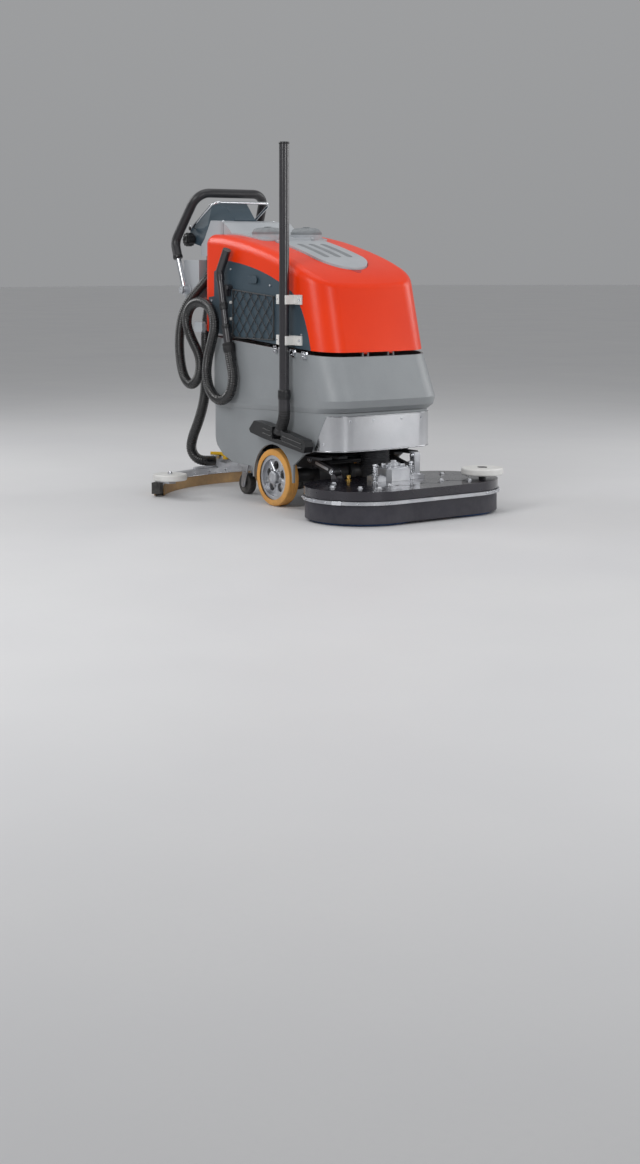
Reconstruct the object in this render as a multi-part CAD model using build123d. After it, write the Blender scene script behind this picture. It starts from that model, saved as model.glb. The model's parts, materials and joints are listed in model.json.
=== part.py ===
"""Walk-behind floor scrubber: battery scrubber dryer with a two-brush deck and a rear squeegee.

Millimetres.  X is forward, Y is to the machine's left, Z is up, and the floor is Z = 0.
The origin is on the floor under the middle of the machine.
"""
from build123d import *
import math
import os

os.makedirs("parts", exist_ok=True)

# ---- driving dimensions -------------------------------------------------------------------
AXLE_X = 50.0              # drive axle
WHEEL_R = 97.5
WHEEL_W = 44.0
WHEEL_Y = 209.0            # middle of each drive wheel
RUN_FIT = 0.05             # radial running clearance of pins and shafts

TANK_REAR_X = -325.0
TANK_WALL = 8.0
TANK_TILT = 0.028          # rise of the tank's waist line per mm forward
RIM_Z0 = 544.2             # height of the tank rim at X = 0
RIM_SLOPE = -0.0731        # rise of the rim per mm forward
RIM_GAP = 14.0             # gap between tank rim and hood
APRON_FRONT_X = 390.0
APRON_T = 3.0

HOOD_REAR_X = -388.0
HOOD_HALF_W = 233.0
HOOD_WALL = 9.0

LID_X0 = -112.0
LID_X1 = 215.0
LID_R = 103.0
LID_PROUD = 7.0
LID_DEPTH = 14.0
CAP_R = 56.0               # ribbed caps behind the lid
CAP_SEAT_Z = 928.0
HINGE = (-117.0, 912.0)    # lid hinge axis (X, Z)
TOP_EDGE_R = 36.0
TILT_AXIS = (335.0, 529.0)     # hood hinge at the front (X, Z)
ROOF_DROP = -22.0          # underside of the hood roof below the crown

DECK_X = 467.5             # middle of the deck
BRUSH_Y = 170.0
BAND_R = 192.5
SKIRT_R = 184.0

ARM_PIVOT = (170.0, 165.0)     # chassis pivot of the deck arms (X, Z)
ARM_END = (300.0, 135.0)       # deck pivot of the arms (X, Z)
ARM_Y = 150.0

SQ_CX = -82.0
SQ_PIVOT = (-180.0, 112.0)     # lift axis of the squeegee arm (X, Z)
SQ_SWING_X = -545.0            # swing axis of the squeegee

CASTER_X = -245.0
CASTER_Y = 115.0
CASTER_R = 37.5
CASTER_TRAIL = 25.0

HANDLE_PIVOT = (-569.0, 728.0)
BAIL_PIVOT = (-625.0, 956.0)
GRIP_R = 17.0
BAIL_R = 5.0

WAND_X = 165.0
WAND_Y = -262.0
WAND_R = 16.75
WAND_TOP = 1230.0
HOSE_R = 18.0
SQ_HOSE_R = 19.0


# ---- helpers ------------------------------------------------------------------------------
def write(name, *solids):
    """Write one node's STEP file."""
    shape = solids[0] if len(solids) == 1 else Compound(children=list(solids))
    shape.label = name
    export_step(shape, f"parts/{name}.step")


def block(x0, x1, y0, y1, z0, z1):
    """A box between two corners."""
    size = (x1 - x0, y1 - y0, z1 - z0)
    mid = ((x0 + x1) / 2, (y0 + y1) / 2, (z0 + z1) / 2)
    return Pos(*mid) * Box(*size)


def rod(start, end, r):
    """A round bar between two points."""
    a = Vector(*start)
    b = Vector(*end)
    plane = Plane(origin=a, z_dir=(b - a).normalized())
    return extrude(plane * Circle(r), (b - a).length)


def pipe(start, end, r, wall):
    """A tube between two points."""
    a = Vector(*start)
    b = Vector(*end)
    plane = Plane(origin=a, z_dir=(b - a).normalized())
    return extrude(plane * (Circle(r) - Circle(r - wall)), (b - a).length)


def disc_y(x, y0, y1, z, r):
    """A round bar along Y."""
    return rod((x, y0, z), (x, y1, z), r)


def ring_y(x, y0, y1, z, r, r_in):
    """A tube along Y."""
    return pipe((x, y0, z), (x, y1, z), r, r - r_in)


def side_plate(points, y0, y1):
    """A plate with an (X, Z) outline, between two Y values."""
    face = Plane.XZ * make_face(Polyline(*points, close=True))
    return Pos(0, y0, 0) * extrude(face, y1 - y0, dir=(0, 1, 0))


def mirror_y(solid):
    """The same solid on the other side of the machine."""
    return mirror(solid, about=Plane.XZ)


def bent_tube(points, radii, r, r_in=0.0):
    """A tube along straight runs joined by tangent arcs."""
    path = FilletPolyline(*points, radius=radii)
    section = Circle(r) - Circle(r_in) if r_in else Circle(r)
    return sweep(Plane(origin=path @ 0, z_dir=path % 0) * section, path=path)


def limp_radii(points):
    """Arc radius at each inner point: 0.45 of the shorter run over the tangent of half the turn."""
    radii = []
    for a, b, c in zip(points, points[1:], points[2:]):
        one = Vector(*b) - Vector(*a)
        two = Vector(*c) - Vector(*b)
        half = math.radians(one.get_angle(two)) / 2
        radii.append(0.45 * min(one.length, two.length) / math.tan(half))
    return radii


def hose(name, points, r):
    """A limp hose, with its length and radii printed."""
    radii = limp_radii(points)
    path = FilletPolyline(*points, radius=radii)
    solid = sweep(Plane(origin=path @ 0, z_dir=path % 0) * Circle(r), path=path)
    ratio = solid.volume / (math.pi * r * r * path.length)
    print(name, "length", round(path.length), "volume ratio", round(ratio, 3))
    print("  radii", [round(v) for v in radii])
    return solid


# ---- body outlines ------------------------------------------------------------------------
def plan(front_x, half_w, rear_x, front_r, rear_r, bow=14.0):
    """Plan of the body: a box with a bowed front and rounded corners."""
    left = (front_x - bow, half_w)
    right = (front_x - bow, -half_w)
    back = Polyline(left, (rear_x, half_w), (rear_x, -half_w), right)
    nose = ThreePointArc(right, (front_x, 0), left)
    face = make_face([*back.edges(), *nose.edges()])
    for at_front, r in ((True, front_r), (False, rear_r)):
        corners = [v for v in face.vertices() if abs(abs(v.Y) - half_w) < 0.01]
        corners.sort(key=lambda v: v.X)
        face = fillet(corners[-2:] if at_front else corners[:2], r)
    return face


def waist(z):
    """A plane that rises forward with the tank's waist line."""
    return Plane(origin=(0, 0, z), x_dir=(1, 0, TANK_TILT), z_dir=(-TANK_TILT, 0, 1))


def rim_z(x, lift=0.0):
    """Height of the tank rim."""
    return RIM_Z0 + RIM_SLOPE * x + lift


def below_rim(lift):
    """Everything below the rim line, raised by lift."""
    pts = [(-900, -10), (900, -10), (900, rim_z(900, lift)), (-900, rim_z(-900, lift))]
    return side_plate(pts, -400, 400)


def tank_outer(inset=0.0):
    """Outer shape of the grey tank above its waist."""
    fronts = [(326, 393, 230), (342, 416, 234), (366, 424, 235), (600, 324, 233)]
    faces = []
    for z, front_x, half_w in fronts:
        face = plan(front_x - inset, half_w - inset, TANK_REAR_X + inset, 100 - inset, 30 - inset)
        faces.append(waist(z) * face)
    return loft(faces, ruled=True)


def tank_lower(inset=0.0):
    """Outer shape of the grey tank below its waist."""
    face = plan(APRON_FRONT_X - APRON_T - inset, 229 - inset, TANK_REAR_X + inset, 98 - inset, 28 - inset)
    return extrude(Pos(0, 0, 90) * face, 245)


TANK_SIDE = [(-340, 345), (-322, 233), (-294, 181), (-255, 149), (-192, 128), (-123, 126), (-70, 126),
             (-70, 60), (170, 60), (170, 150), (233, 192), (290, 207), (400, 207), (400, 345)]


def hood_top():
    """Side view of the hood as one solid across the machine."""
    crown = Spline((400, 655), (306, 748), (206, 809), (95, 850), (-20, 881), (-138, 906),
                   (-241, 922), (-400, 931), tangents=[(-0.75, 0.66), (-1, 0.03)])
    rest = Polyline((-400, 931), (-400, 480), (400, 480), (400, 655))
    face = Plane.XZ * make_face([*crown.edges(), *rest.edges()])
    return Pos(0, -300, 0) * extrude(face, 600, dir=(0, 1, 0))


def hood_body(inset=0.0):
    """Outer shape of the hood, before its openings."""
    half_w = HOOD_HALF_W - inset
    low = Pos(0, 0, 500) * plan(362 - inset, half_w, HOOD_REAR_X + inset, 100 - inset, 46 - inset)
    high = Pos(0, 0, 960) * plan(252 - inset, half_w - 4, HOOD_REAR_X + inset, 100 - inset, 46 - inset)
    return loft([low, high], ruled=True) & (Pos(0, 0, -inset) * hood_top())


def hinge_lugs():
    """Two pins in lugs on the tank's front rim, under the hood's hinge knuckles."""
    x, z = TILT_AXIS
    parts = []
    for y in (-68, -46, 40, 62):
        lug = block(x - 4, 359, y, y + 6, 506, rim_z(x) - 2) + block(x - 4, x + 4, y, y + 6, 510, z)
        parts.append(lug + disc_y(x, y, y + 6, z, 4))
    pins = disc_y(x, -68, -40, z, 2.5) + disc_y(x, 40, 68, z, 2.5)
    return parts[0] + parts[1] + parts[2] + parts[3] + pins


def hinge_knuckles():
    """Two knuckles under the hood's floor that turn on the tank's pins."""
    x, z = TILT_AXIS
    parts = []
    for y in (-61.6, 46.4):
        knuckle = disc_y(x, y, y + 15.2, z, 4.4) + block(x - 4.4, x + 4.4, y, y + 15.2, z, z + 8)
        parts.append(knuckle)
    return parts[0] + parts[1]


# ---- chassis ------------------------------------------------------------------------------
def solution_tank():
    """Grey lower tank, open at the top and below, with wheel arches."""
    side = side_plate(TANK_SIDE, -300, 300)
    shell = tank_outer() + (tank_lower() & side)
    hollow = tank_outer(TANK_WALL) + tank_lower(TANK_WALL)
    shell = (shell & below_rim(0)) - hollow
    for sign in (1, -1):
        shell -= disc_y(AXLE_X, sign * 170, sign * 260, WHEEL_R, WHEEL_R + 16)
    # drain boss on the rear wall
    boss = rod((TANK_REAR_X - 14, 140, 262), (TANK_REAR_X + 4, 140, 262), 22)
    return shell + boss + hinge_lugs()


def steel_apron():
    """Polished sheet apron wrapped round the front of the tank."""
    outer = plan(APRON_FRONT_X, 232, -200, 101, 20)
    inner = plan(APRON_FRONT_X - APRON_T + 0.2, 229.2, -200, 98.2, 20)
    sheet = extrude(Pos(0, 0, 207) * (outer - inner), 119)
    window = side_plate([(290, 200), (339, 324), (420, 324.5), (420, 200)], -300, 300)
    return sheet & window


def chassis_frame():
    """Steel floor frame that carries the battery, axle, casters and deck arms."""
    plate = block(-300, 300, -205, 205, 176, 184)
    arch = block(-60, 160, 178, 206, 160, 200)
    plate -= arch
    plate -= mirror_y(arch)
    plate -= block(262, 310, -100, 100, 150, 190)
    for s in (1, -1):
        plate -= block(145, 310, s * ARM_Y - 14, s * ARM_Y + 14, 150, 190)
    rails = [block(-292, 140, s * 120 - 8, s * 120 + 8, 128, 176) for s in (1, -1)]
    cross = block(-286, -214, -150, 150, 128, 140)
    frame = plate + rails + cross
    for s in (1, -1):
        frame -= Pos(CASTER_X, s * CASTER_Y, 130) * Cylinder(10 + RUN_FIT, 60)
        y0 = ARM_Y - 32 if s > 0 else -ARM_Y + 14
        lug = block(150, 190, y0, y0 + 18, 150, 176) + disc_y(ARM_PIVOT[0], y0, y0 + 18, ARM_PIVOT[1], 16)
        frame += lug
        pin = disc_y(ARM_PIVOT[0], s * (ARM_Y - 34), s * (ARM_Y + 14), ARM_PIVOT[1], 8)
        frame += pin
    # lugs and pin of the squeegee arm
    for s in (1, -1):
        frame += block(SQ_PIVOT[0] - 16, SQ_PIVOT[0] + 16, s * 53 - 5, s * 53 + 5, 96, 176)
        near, far = sorted((s * 48, s * 125))
        frame += block(SQ_PIVOT[0] - 16, SQ_PIVOT[0] + 16, near, far, 140, 168)
    frame += disc_y(SQ_PIVOT[0], -60, 60, SQ_PIVOT[1], 7)
    return frame


def drive_transaxle():
    """Drive motor, gear case and the two axle stubs."""
    case = disc_y(AXLE_X, -70, 60, WHEEL_R, 56)
    case += disc_y(AXLE_X, 60, 78, WHEEL_R, 64)
    case += disc_y(AXLE_X, -168, 168, WHEEL_R, 24)
    case += disc_y(AXLE_X, -228, 228, WHEEL_R, 12)
    case += block(AXLE_X - 30, AXLE_X + 30, -60, 60, 140, 176)
    return case


def battery_pack():
    """Four batteries standing on the frame."""
    cells = []
    for i in range(2):
        for j in range(2):
            x0 = -250 + 225 * i
            y0 = -174 + 176 * j
            cell = block(x0, x0 + 215, y0, y0 + 172, 184, 420)
            cell += block(x0 + 10, x0 + 205, y0 + 20, y0 + 152, 420, 432)
            for dx in (35, 180):
                cell += Pos(x0 + dx, y0 + 86, 438) * Cylinder(9, 12)
            cells.append(cell)
    return cells


def rear_column():
    """Grey column behind the tanks that carries the handle and the console."""
    pts = [(-332, 200), (-332, 546), (-396, 570), (-396, 850), (-548, 850), (-560, 700), (-520, 600),
           (-420, 520), (-392, 200)]
    column = side_plate(pts, -108, 108)
    column = chamfer(column.edges().filter_by(Axis.Z), 6)
    foot = block(-334, -300, -90, 90, 176, 204)
    return column + foot


def handle_brackets():
    """Two grey castings that carry the handle pivots."""
    pts = [(-500, 838), (-606, 838), (-598, 700), (-566, 668), (-540, 690), (-500, 700)]
    parts = []
    for s in (1, -1):
        y0 = 108 if s > 0 else -172
        arm = side_plate(pts, y0, y0 + 64)
        arm += disc_y(HANDLE_PIVOT[0], s * 171, s * 178, HANDLE_PIVOT[1], 22)
        arm += disc_y(HANDLE_PIVOT[0], s * 170, s * 206, HANDLE_PIVOT[1], 7)
        arm += disc_y(HANDLE_PIVOT[0], s * 203, s * 208, HANDLE_PIVOT[1], 13)
        parts.append(arm)
    return parts


def rear_cowl():
    """Light grey cowl between the column and the console."""
    pts = [(-396, 852), (-396, 976), (-470, 982), (-512, 915), (-545, 884), (-545, 852)]
    cowl = side_plate(pts, -140, 140)
    keep = extrude(Pos(0, 0, 800) * RectangleRounded(160, 280, 20), 300)
    keep = Pos(-470, 0, 0) * keep
    return cowl & keep


def console_shell():
    """Faceted console on top of the cowl."""
    rows = [(-650, 905, 956, 116, 114), (-557, 886, 1050, 116, 76), (-500, 930, 1029, 92, 50),
            (-449, 983, 986, 50, 42)]
    faces = []
    for x, z0, z1, low, high in rows:
        face = make_face(Polyline((x, -low, z0), (x, low, z0), (x, high, z1), (x, -high, z1), close=True))
        faces.append(face)
    body = loft(faces, ruled=True)
    body -= block(-560, -380, -141, 141, 840, 915)
    body -= rear_cowl()
    for piece in control_bezels():
        body -= piece
    return body


def console_spot(u, v, w=0.0):
    """A place on the sloped control face: u across, v up the slope from its middle, w outward."""
    mid = Vector(-603.5, 0, 1003)
    up = Vector(93, 0, 94).normalized()
    out = Vector(-94, 0, 93).normalized()
    return mid + Vector(0, 1, 0) * u + up * v + out * w


def on_console(u, v, w=0.0):
    """A plane on the control face with Z pointing out of it."""
    return Plane(origin=console_spot(u, v, w), x_dir=(0, 1, 0), z_dir=(-94, 0, 93))


def display_window():
    """Clear window over the status display."""
    return extrude(on_console(0, 32, 0.1) * RectangleRounded(78, 34, 5), 3)


def console_knob():
    """Round knob with finger ribs on the console's right side."""
    x, z = -629.0, 914.0
    knob = disc_y(x, -146, -120, z, 23)
    for i in range(12):
        angle = math.radians(30 * i)
        knob += disc_y(x + 23 * math.cos(angle), -146, -122, z + 23 * math.sin(angle), 2.5)
    return knob - disc_y(x, -140, -118, z, 5 + RUN_FIT)


def dial():
    """Speed dial with a pointer rib."""
    plane = on_console(0, -36, 1.0)
    knob = extrude(plane * Circle(17), 12) + extrude(plane * Rectangle(6, 32), 17)
    return knob - extrude(plane * Circle(4 + RUN_FIT), 9)


def emergency_stop():
    """Mushroom button."""
    stem = extrude(on_console(66, -30, 5.2) * Circle(8), 8)
    return stem + extrude(on_console(66, -30, 13) * Circle(17), 9)


def key_switch():
    """Key in its lock barrel."""
    plane = on_console(-66, -30, 2.0)
    key = extrude(plane * Circle(7), 5)
    return key + extrude(on_console(-66, -30, 7) * Rectangle(3, 20), 24)


def console_button(index):
    """One square push button of the row of three."""
    return extrude(on_console(-34 + 34 * index, -4, 2.2) * RectangleRounded(22, 14, 3), 7)


def control_bezels():
    """Collars round the key, the stop button and the dial, with the dial and knob shafts."""
    rings = [extrude(on_console(66, -30, 0.0) * (Circle(20) - Circle(9)), 6),
             extrude(on_console(-66, -30, 0.0) * (Circle(12) - Circle(7.3)), 5),
             extrude(on_console(0, -36, -2.0) * Circle(4), 10),
             disc_y(-629, -138, -112, 914, 5)]
    for s in (1, -1):
        rings.append(disc_y(BAIL_PIVOT[0], s * 112, s * 131, BAIL_PIVOT[1], 3.5))
    return rings


def bail():
    """Thin bent rod under the handle."""
    x, z = BAIL_PIVOT
    pts = [(x, -125, z), (-469, -125, 1049), (-469, 125, 1049), (x, 125, z)]
    rodding = bent_tube(pts, [24, 24], BAIL_R)
    for s in (1, -1):
        rodding += disc_y(x, s * 119, s * 131, z, 9)
        rodding -= disc_y(x, s * 118, s * 134, z, 3.5 + RUN_FIT)
    return rodding


HANDLE_POINTS = [(-617, -190, 850), (-649.7, -182, 905), (-545, -150, 1085), (-545, 150, 1085),
                 (-649.7, 182, 905), (-617, 190, 850)]


def handle_grip():
    """Padded arch of the handle."""
    return bent_tube(HANDLE_POINTS, [45, 62, 62, 45], GRIP_R)


def handle_legs():
    """Chrome tubes below the grip, each with an eye at its pivot."""
    legs = []
    x, z = HANDLE_PIVOT
    for s in (1, -1):
        leg = rod((-617, s * 190, 850), (x, s * 190, z), 10)
        leg += disc_y(x, s * 178.5, s * 202, z, 16)
        leg -= disc_y(x, s * 170, s * 210, z, 7 + RUN_FIT)
        legs.append(leg - handle_grip())
    return legs


PORT_Y = -131.0


def hose_ports():
    """Two hose sockets under the cowl."""
    return [rod((x, PORT_Y, 838), (x, PORT_Y, 852), 22) for x in (-472, -424)]


def hose_hook():
    """Grey hook that carries the coiled hose."""
    arm = block(-408, -392, -241, -108, 586, 606)
    head = block(-402, -350, -256, -241, 580, 618)
    return arm + fillet(head.edges().filter_by(Axis.Y), 8)


def tank_latches():
    """Draw latches across the gap between tank and hood."""
    parts = []
    for x in (112, 178, 244):
        z = rim_z(x)
        parts.append(block(x - 14, x + 14, -240, -233.4, z - 16, z + 7))
    return parts


# ---- wheels and casters -------------------------------------------------------------------
def drive_tyre(sign):
    """Cast polyurethane tyre with rounded shoulders."""
    tyre = ring_y(AXLE_X, sign * WHEEL_Y - WHEEL_W / 2, sign * WHEEL_Y + WHEEL_W / 2, WHEEL_R, WHEEL_R, 76)
    rims = [e for e in tyre.edges().filter_by(GeomType.CIRCLE) if e.radius > 90]
    return fillet(rims, 5)


def drive_hub(sign):
    """Hub with five windows between its spokes."""
    inner = sign * WHEEL_Y - sign * 18
    outer = sign * WHEEL_Y + sign * 18
    hub = ring_y(AXLE_X, inner, outer, WHEEL_R, 76, 64)
    mid = sign * WHEEL_Y
    web = disc_y(AXLE_X, mid - 6, mid + 6, WHEEL_R, 65)
    for i in range(5):
        angle = math.radians(72 * i + 18)
        cx = AXLE_X + 41 * math.cos(angle)
        cz = WHEEL_R + 41 * math.sin(angle)
        web -= disc_y(cx, mid - 20, mid + 20, cz, 15)
        spoke = rod((AXLE_X, mid, WHEEL_R), (AXLE_X + 68 * math.cos(angle + math.pi / 5), mid,
                    WHEEL_R + 68 * math.sin(angle + math.pi / 5)), 10)
        web += spoke & ring_y(AXLE_X, mid - 12, mid + 12, WHEEL_R, 65, 10)
    boss = disc_y(AXLE_X, inner, outer + sign * 2, WHEEL_R, 22)
    return hub + web + boss - disc_y(AXLE_X, -300, 300, WHEEL_R, 12 + RUN_FIT)


def caster_fork(sign):
    """Swivelling caster fork with its stem and axle."""
    x = CASTER_X
    y = sign * CASTER_Y
    wx = x - CASTER_TRAIL
    fork = Pos(x, y, 120) * Cylinder(26, 10)
    fork += Pos(x, y, 132) * Cylinder(10, 26)
    fork += block(wx - 16, x + 10, y - 22, y + 22, 100, 115) - block(-400, 0, y - 16, y + 16, 90, 108)
    for t in (1, -1):
        pts = [(x + 12, 113), (x - 24, 113), (wx - 12, CASTER_R), (wx + 12, CASTER_R)]
        y0 = y + 17 if t > 0 else y - 21
        fork += side_plate(pts, y0, y0 + 4) + disc_y(wx, y0, y0 + 4, CASTER_R, 12)
    fork += disc_y(wx, y - 24, y + 24, CASTER_R, 5)
    return fork


def caster_wheel(sign):
    """Caster wheel."""
    y = sign * CASTER_Y
    wheel = ring_y(CASTER_X - CASTER_TRAIL, y - 14, y + 14, CASTER_R, CASTER_R, 5 + RUN_FIT)
    rims = [e for e in wheel.edges().filter_by(GeomType.CIRCLE) if e.radius > 30]
    return fillet(rims, 5)


# ---- brush deck ---------------------------------------------------------------------------
def stadium(r):
    """Deck outline of end radius r."""
    return SlotOverall(2 * (BRUSH_Y + r), 2 * r, rotation=90)


def s_slot(x, y, turn):
    """An S-shaped hole through the deck plate."""
    line = Spline((-34, -4), (-12, 7), (12, -7), (34, 4))
    return Pos(x, y, 60) * Rot(0, 0, turn) * extrude(trace(line, 8), 80)


def deck_plate():
    """Deck top plate with its rim, S slots, spindle bores and arm lugs."""
    plate = Pos(DECK_X, 0, 100) * extrude(stadium(187), 10)
    plate += Pos(DECK_X, 0, 82) * extrude(stadium(187) - stadium(178), 20)
    for x, y, turn in ((560, 150, 70), (562, 40, 70), (560, -60, 70), (380, -250, 20), (380, 250, -20)):
        plate -= s_slot(x, y, turn)
    for s in (1, -1):
        plate += Pos(DECK_X, s * BRUSH_Y, 93) * Cylinder(30, 16)
        plate -= Pos(DECK_X, s * BRUSH_Y, 92) * Cylinder(14 + RUN_FIT, 20)
    x, z = ARM_END
    for s in (1, -1):
        for y in (ARM_Y - 15, ARM_Y + 11):
            y0 = s * y if s > 0 else s * y - 4
            lug = side_plate([(x - 6, z), (x + 6, z), (x + 40, 108), (x - 4, 108)], y0, y0 + 4)
            plate += lug + disc_y(x, y0, y0 + 4, z, 13)
        plate -= disc_y(x, s * (ARM_Y - 20), s * (ARM_Y + 20), z, 8 + RUN_FIT)
    plate += Pos(562, 267, 115) * Cylinder(12, 11)
    plate += Pos(562, 267, 134) * Cylinder(6, 28)
    return plate


def deck_band():
    """Clamp band round the deck."""
    return Pos(DECK_X, 0, 68) * extrude(stadium(BAND_R) - stadium(SKIRT_R), 11)


def deck_skirt():
    """Splash skirt hanging from the deck."""
    return Pos(DECK_X, 0, 8) * extrude(stadium(SKIRT_R) - stadium(178), 74)


def deck_gearbox():
    """Cast gear case at the back of the deck."""
    case = block(372, 462, -52, 48, 110, 150)
    case = chamfer(case.edges().filter_by(Axis.Z), 12)
    case += Pos(419, 0, 154) * Cylinder(34, 14)
    case += Pos(419, 0, 162) * Cylinder(22, 10)
    for y in (-68, 64):
        case += block(388, 448, y - 18, y + 18, 110, 126)
    return case


def deck_motors():
    """Brush motor standing behind the gear case, and its bridge."""
    motor = Pos(322, 0, 175) * Cylinder(46, 128)
    motor += Pos(322, 0, 244) * Cylinder(36, 12)
    motor += block(300, 372, -40, 40, 111, 124)
    return motor


def deck_link():
    """Grey lift link and hinge block on the deck."""
    link = block(404, 428, 84, 108, 110, 196)
    link += block(392, 440, 83, 118, 110, 122)
    return link


def deck_studs():
    """Bolt heads and a water inlet on the deck plate."""
    studs = []
    for s in (1, -1):
        for dx, dy in ((70, 60), (-70, 60), (70, -60), (0, 118), (118, 20)):
            studs.append(Pos(DECK_X + dx, s * (BRUSH_Y + dy), 114) * Cylinder(7, 8))
    studs = [b for b in studs if b.center().Y < 200 or b.center().X < 480]
    studs.append(Pos(345, -130, 119) * Cylinder(9, 18))
    studs.append(Pos(352, 130, 119) * Cylinder(9, 18))
    return studs


def deck_roller():
    """White deflector roller at the deck's left front corner."""
    wheel = Pos(562, 267, 134) * Cylinder(70, 24)
    wheel = fillet(wheel.edges().filter_by(GeomType.CIRCLE), 6)
    return wheel - Pos(562, 267, 134) * Cylinder(6 + RUN_FIT, 40)


def brush_plate(sign):
    """Drive plate and spindle of one brush."""
    y = sign * BRUSH_Y
    plate = Pos(DECK_X, y, 50) * Cylinder(160, 12)
    plate += Pos(DECK_X, y, 70) * Cylinder(30, 28)
    return plate + Pos(DECK_X, y, 90) * Cylinder(14, 18)


def brush_bristles(sign):
    """Bristle ring of one brush."""
    y = sign * BRUSH_Y
    return Pos(DECK_X, y, 22) * (Cylinder(168, 44) - Cylinder(70, 44))


def deck_arms():
    """Two side arms joined by a cross tube."""
    x0, z0 = ARM_PIVOT
    x1, z1 = ARM_END
    arms = rod((205, -ARM_Y - 6, 157), (205, ARM_Y + 6, 157), 9)
    for s in (1, -1):
        y0 = s * ARM_Y - 10
        bar = side_plate([(x0, z0 + 14), (x1, z1 + 12), (x1, z1 - 12), (x0, z0 - 14)], y0, y0 + 20)
        bar += disc_y(x0, y0, y0 + 20, z0, 16) + disc_y(x1, y0, y0 + 20, z1, 14)
        bar -= disc_y(x0, y0 - 5, y0 + 25, z0, 8 + RUN_FIT)
        arms += bar
        arms += disc_y(x1, s * (ARM_Y - 16), s * (ARM_Y + 16), z1, 8)
    return arms


# ---- squeegee -----------------------------------------------------------------------------
def arc_band(r0, r1, half_deg, z0, z1):
    """A curved bar centred on the squeegee arc."""
    a = math.radians(half_deg)
    ring = Circle(r1) - Circle(r0)
    wedge = make_face(Polyline((0, 0), (-900 * math.cos(a), 900 * math.sin(a)), (-1500, 0),
                               (-900 * math.cos(a), -900 * math.sin(a)), close=True))
    return Pos(SQ_CX, 0, z0) * extrude(ring & wedge, z1 - z0)


def squeegee_arm():
    """Arm from the frame back to the squeegee's swing pin."""
    x0, z0 = SQ_PIVOT
    arm = block(SQ_SWING_X - 20, x0, -22, 22, 98, 116)
    arm = fillet(arm.edges().filter_by(Axis.Z), 12)
    arm += disc_y(x0, -46, 46, z0, 14)
    arm -= disc_y(x0, -80, 80, z0, 7 + RUN_FIT)
    arm -= Pos(SQ_SWING_X, 0, 105) * Cylinder(8 + RUN_FIT, 60)
    return arm


def squeegee_beam():
    """Curved squeegee body with the plate that swings under the arm."""
    beam = arc_band(505, 531, 51, 24, 60)
    beam += arc_band(510, 526, 16, 60, 68)
    beam += block(-592, SQ_SWING_X + 34, -50, 50, 84, 96)
    beam += block(-604, -572, -44, 44, 60, 96)
    beam += Pos(SQ_SWING_X, 0, 104) * Cylinder(8, 44)
    beam += Pos(SQ_SWING_X, 0, 121) * Cylinder(15, 7)
    for s in (1, -1):
        beam += block(-412, -330, s * 395 - 14, s * 395 + 14, 50, 60)
        beam += Pos(-345, s * 395, 68) * Cylinder(6, 36)
    return beam


def squeegee_socket():
    """Hose socket on the squeegee, with the two knobs that hold the blades' frame."""
    socket = block(-594, -556, -62, -50, 68, 108)
    knobs = [Pos(-588, y, 104) * Cylinder(11, 16) for y in (-30, 34)]
    return [socket, *knobs]


def squeegee_blades():
    """Inner and outer rubber blades."""
    return [arc_band(501, 505, 49, 0, 36), arc_band(531, 535, 51, 0, 36)]


def squeegee_ends():
    """Black rubber end blocks."""
    ends = []
    a = math.radians(51)
    for s in (1, -1):
        x = SQ_CX - 518 * math.cos(a)
        y = s * 518 * math.sin(a)
        ends.append(Pos(x + 10, y + s * 12.8, 30) * Rot(0, 0, -s * 39) * Box(32, 30, 40))
    body = arc_band(480, 560, 51, -5, 90)
    return [e - body for e in ends]


def squeegee_roller(sign):
    """White edge roller above one end of the squeegee."""
    wheel = Pos(-345, sign * 395, 73) * Cylinder(60, 22)
    wheel = fillet(wheel.edges().filter_by(GeomType.CIRCLE), 5)
    return wheel - Pos(-345, sign * 395, 73) * Cylinder(6 + RUN_FIT, 40)


def clamp_lever():
    """Yellow clamp lever with a bent handle."""
    lever = Pos(-530, -38, 101.5) * Cylinder(10, 10)
    lever += bent_tube([(-530, -38, 105), (-540, -52, 117), (-560, -86, 119)], [8], 6)
    return lever


# ---- hood ---------------------------------------------------------------------------------
def lid_outline(grow=0.0):
    """Plan of the lid: square rear end and round front end."""
    r = LID_R + grow
    cx = LID_X1 - LID_R
    face = Pos(cx, 0) * Circle(r)
    bar = make_face(Polyline((LID_X0 - grow, -r), (cx, -r), (cx, r), (LID_X0 - grow, r), close=True))
    return face + bar


def lid_tall(grow=0.0):
    """The lid's plan as a tall prism."""
    return Pos(0, 0, 600) * extrude(lid_outline(grow), 500)


PANEL = [(-343, 560), (-343, 706), (-309, 710), (-309, 797), (-219, 835), (-106, 819), (-15, 799), (74, 771),
         (132, 748), (186, 716), (222, 672), (250, 610), (276, 520)]


def panel_prism(y0, y1):
    """The side panel's outline between two Y values."""
    edge = Spline(*PANEL[4:], tangents=[(1, -0.1), (0.24, -1)])
    rest = Polyline(PANEL[-1], (PANEL[0][0], PANEL[-1][1]), *PANEL[1:5])
    face = make_face([*edge.edges(), *rest.edges()])
    return Pos(0, y0, 0) * extrude(Plane.XZ * face, y1 - y0, dir=(0, 1, 0))


def above_rim(lift):
    """Everything above the rim line, raised by lift."""
    pts = [(-900, rim_z(-900, lift)), (900, rim_z(900, lift)), (900, 1300), (-900, 1300)]
    return side_plate(pts, -400, 400)


def dome_places():
    """Centres of the two ribbed caps."""
    return [(-186.0, 84.0), (-186.0, -84.0)]


def above_crown(lift):
    """Everything above the hood's crown line, moved up by lift."""
    return Pos(0, 0, lift) * (block(-900, 900, -290, 290, 500, 1300) - hood_top())


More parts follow.
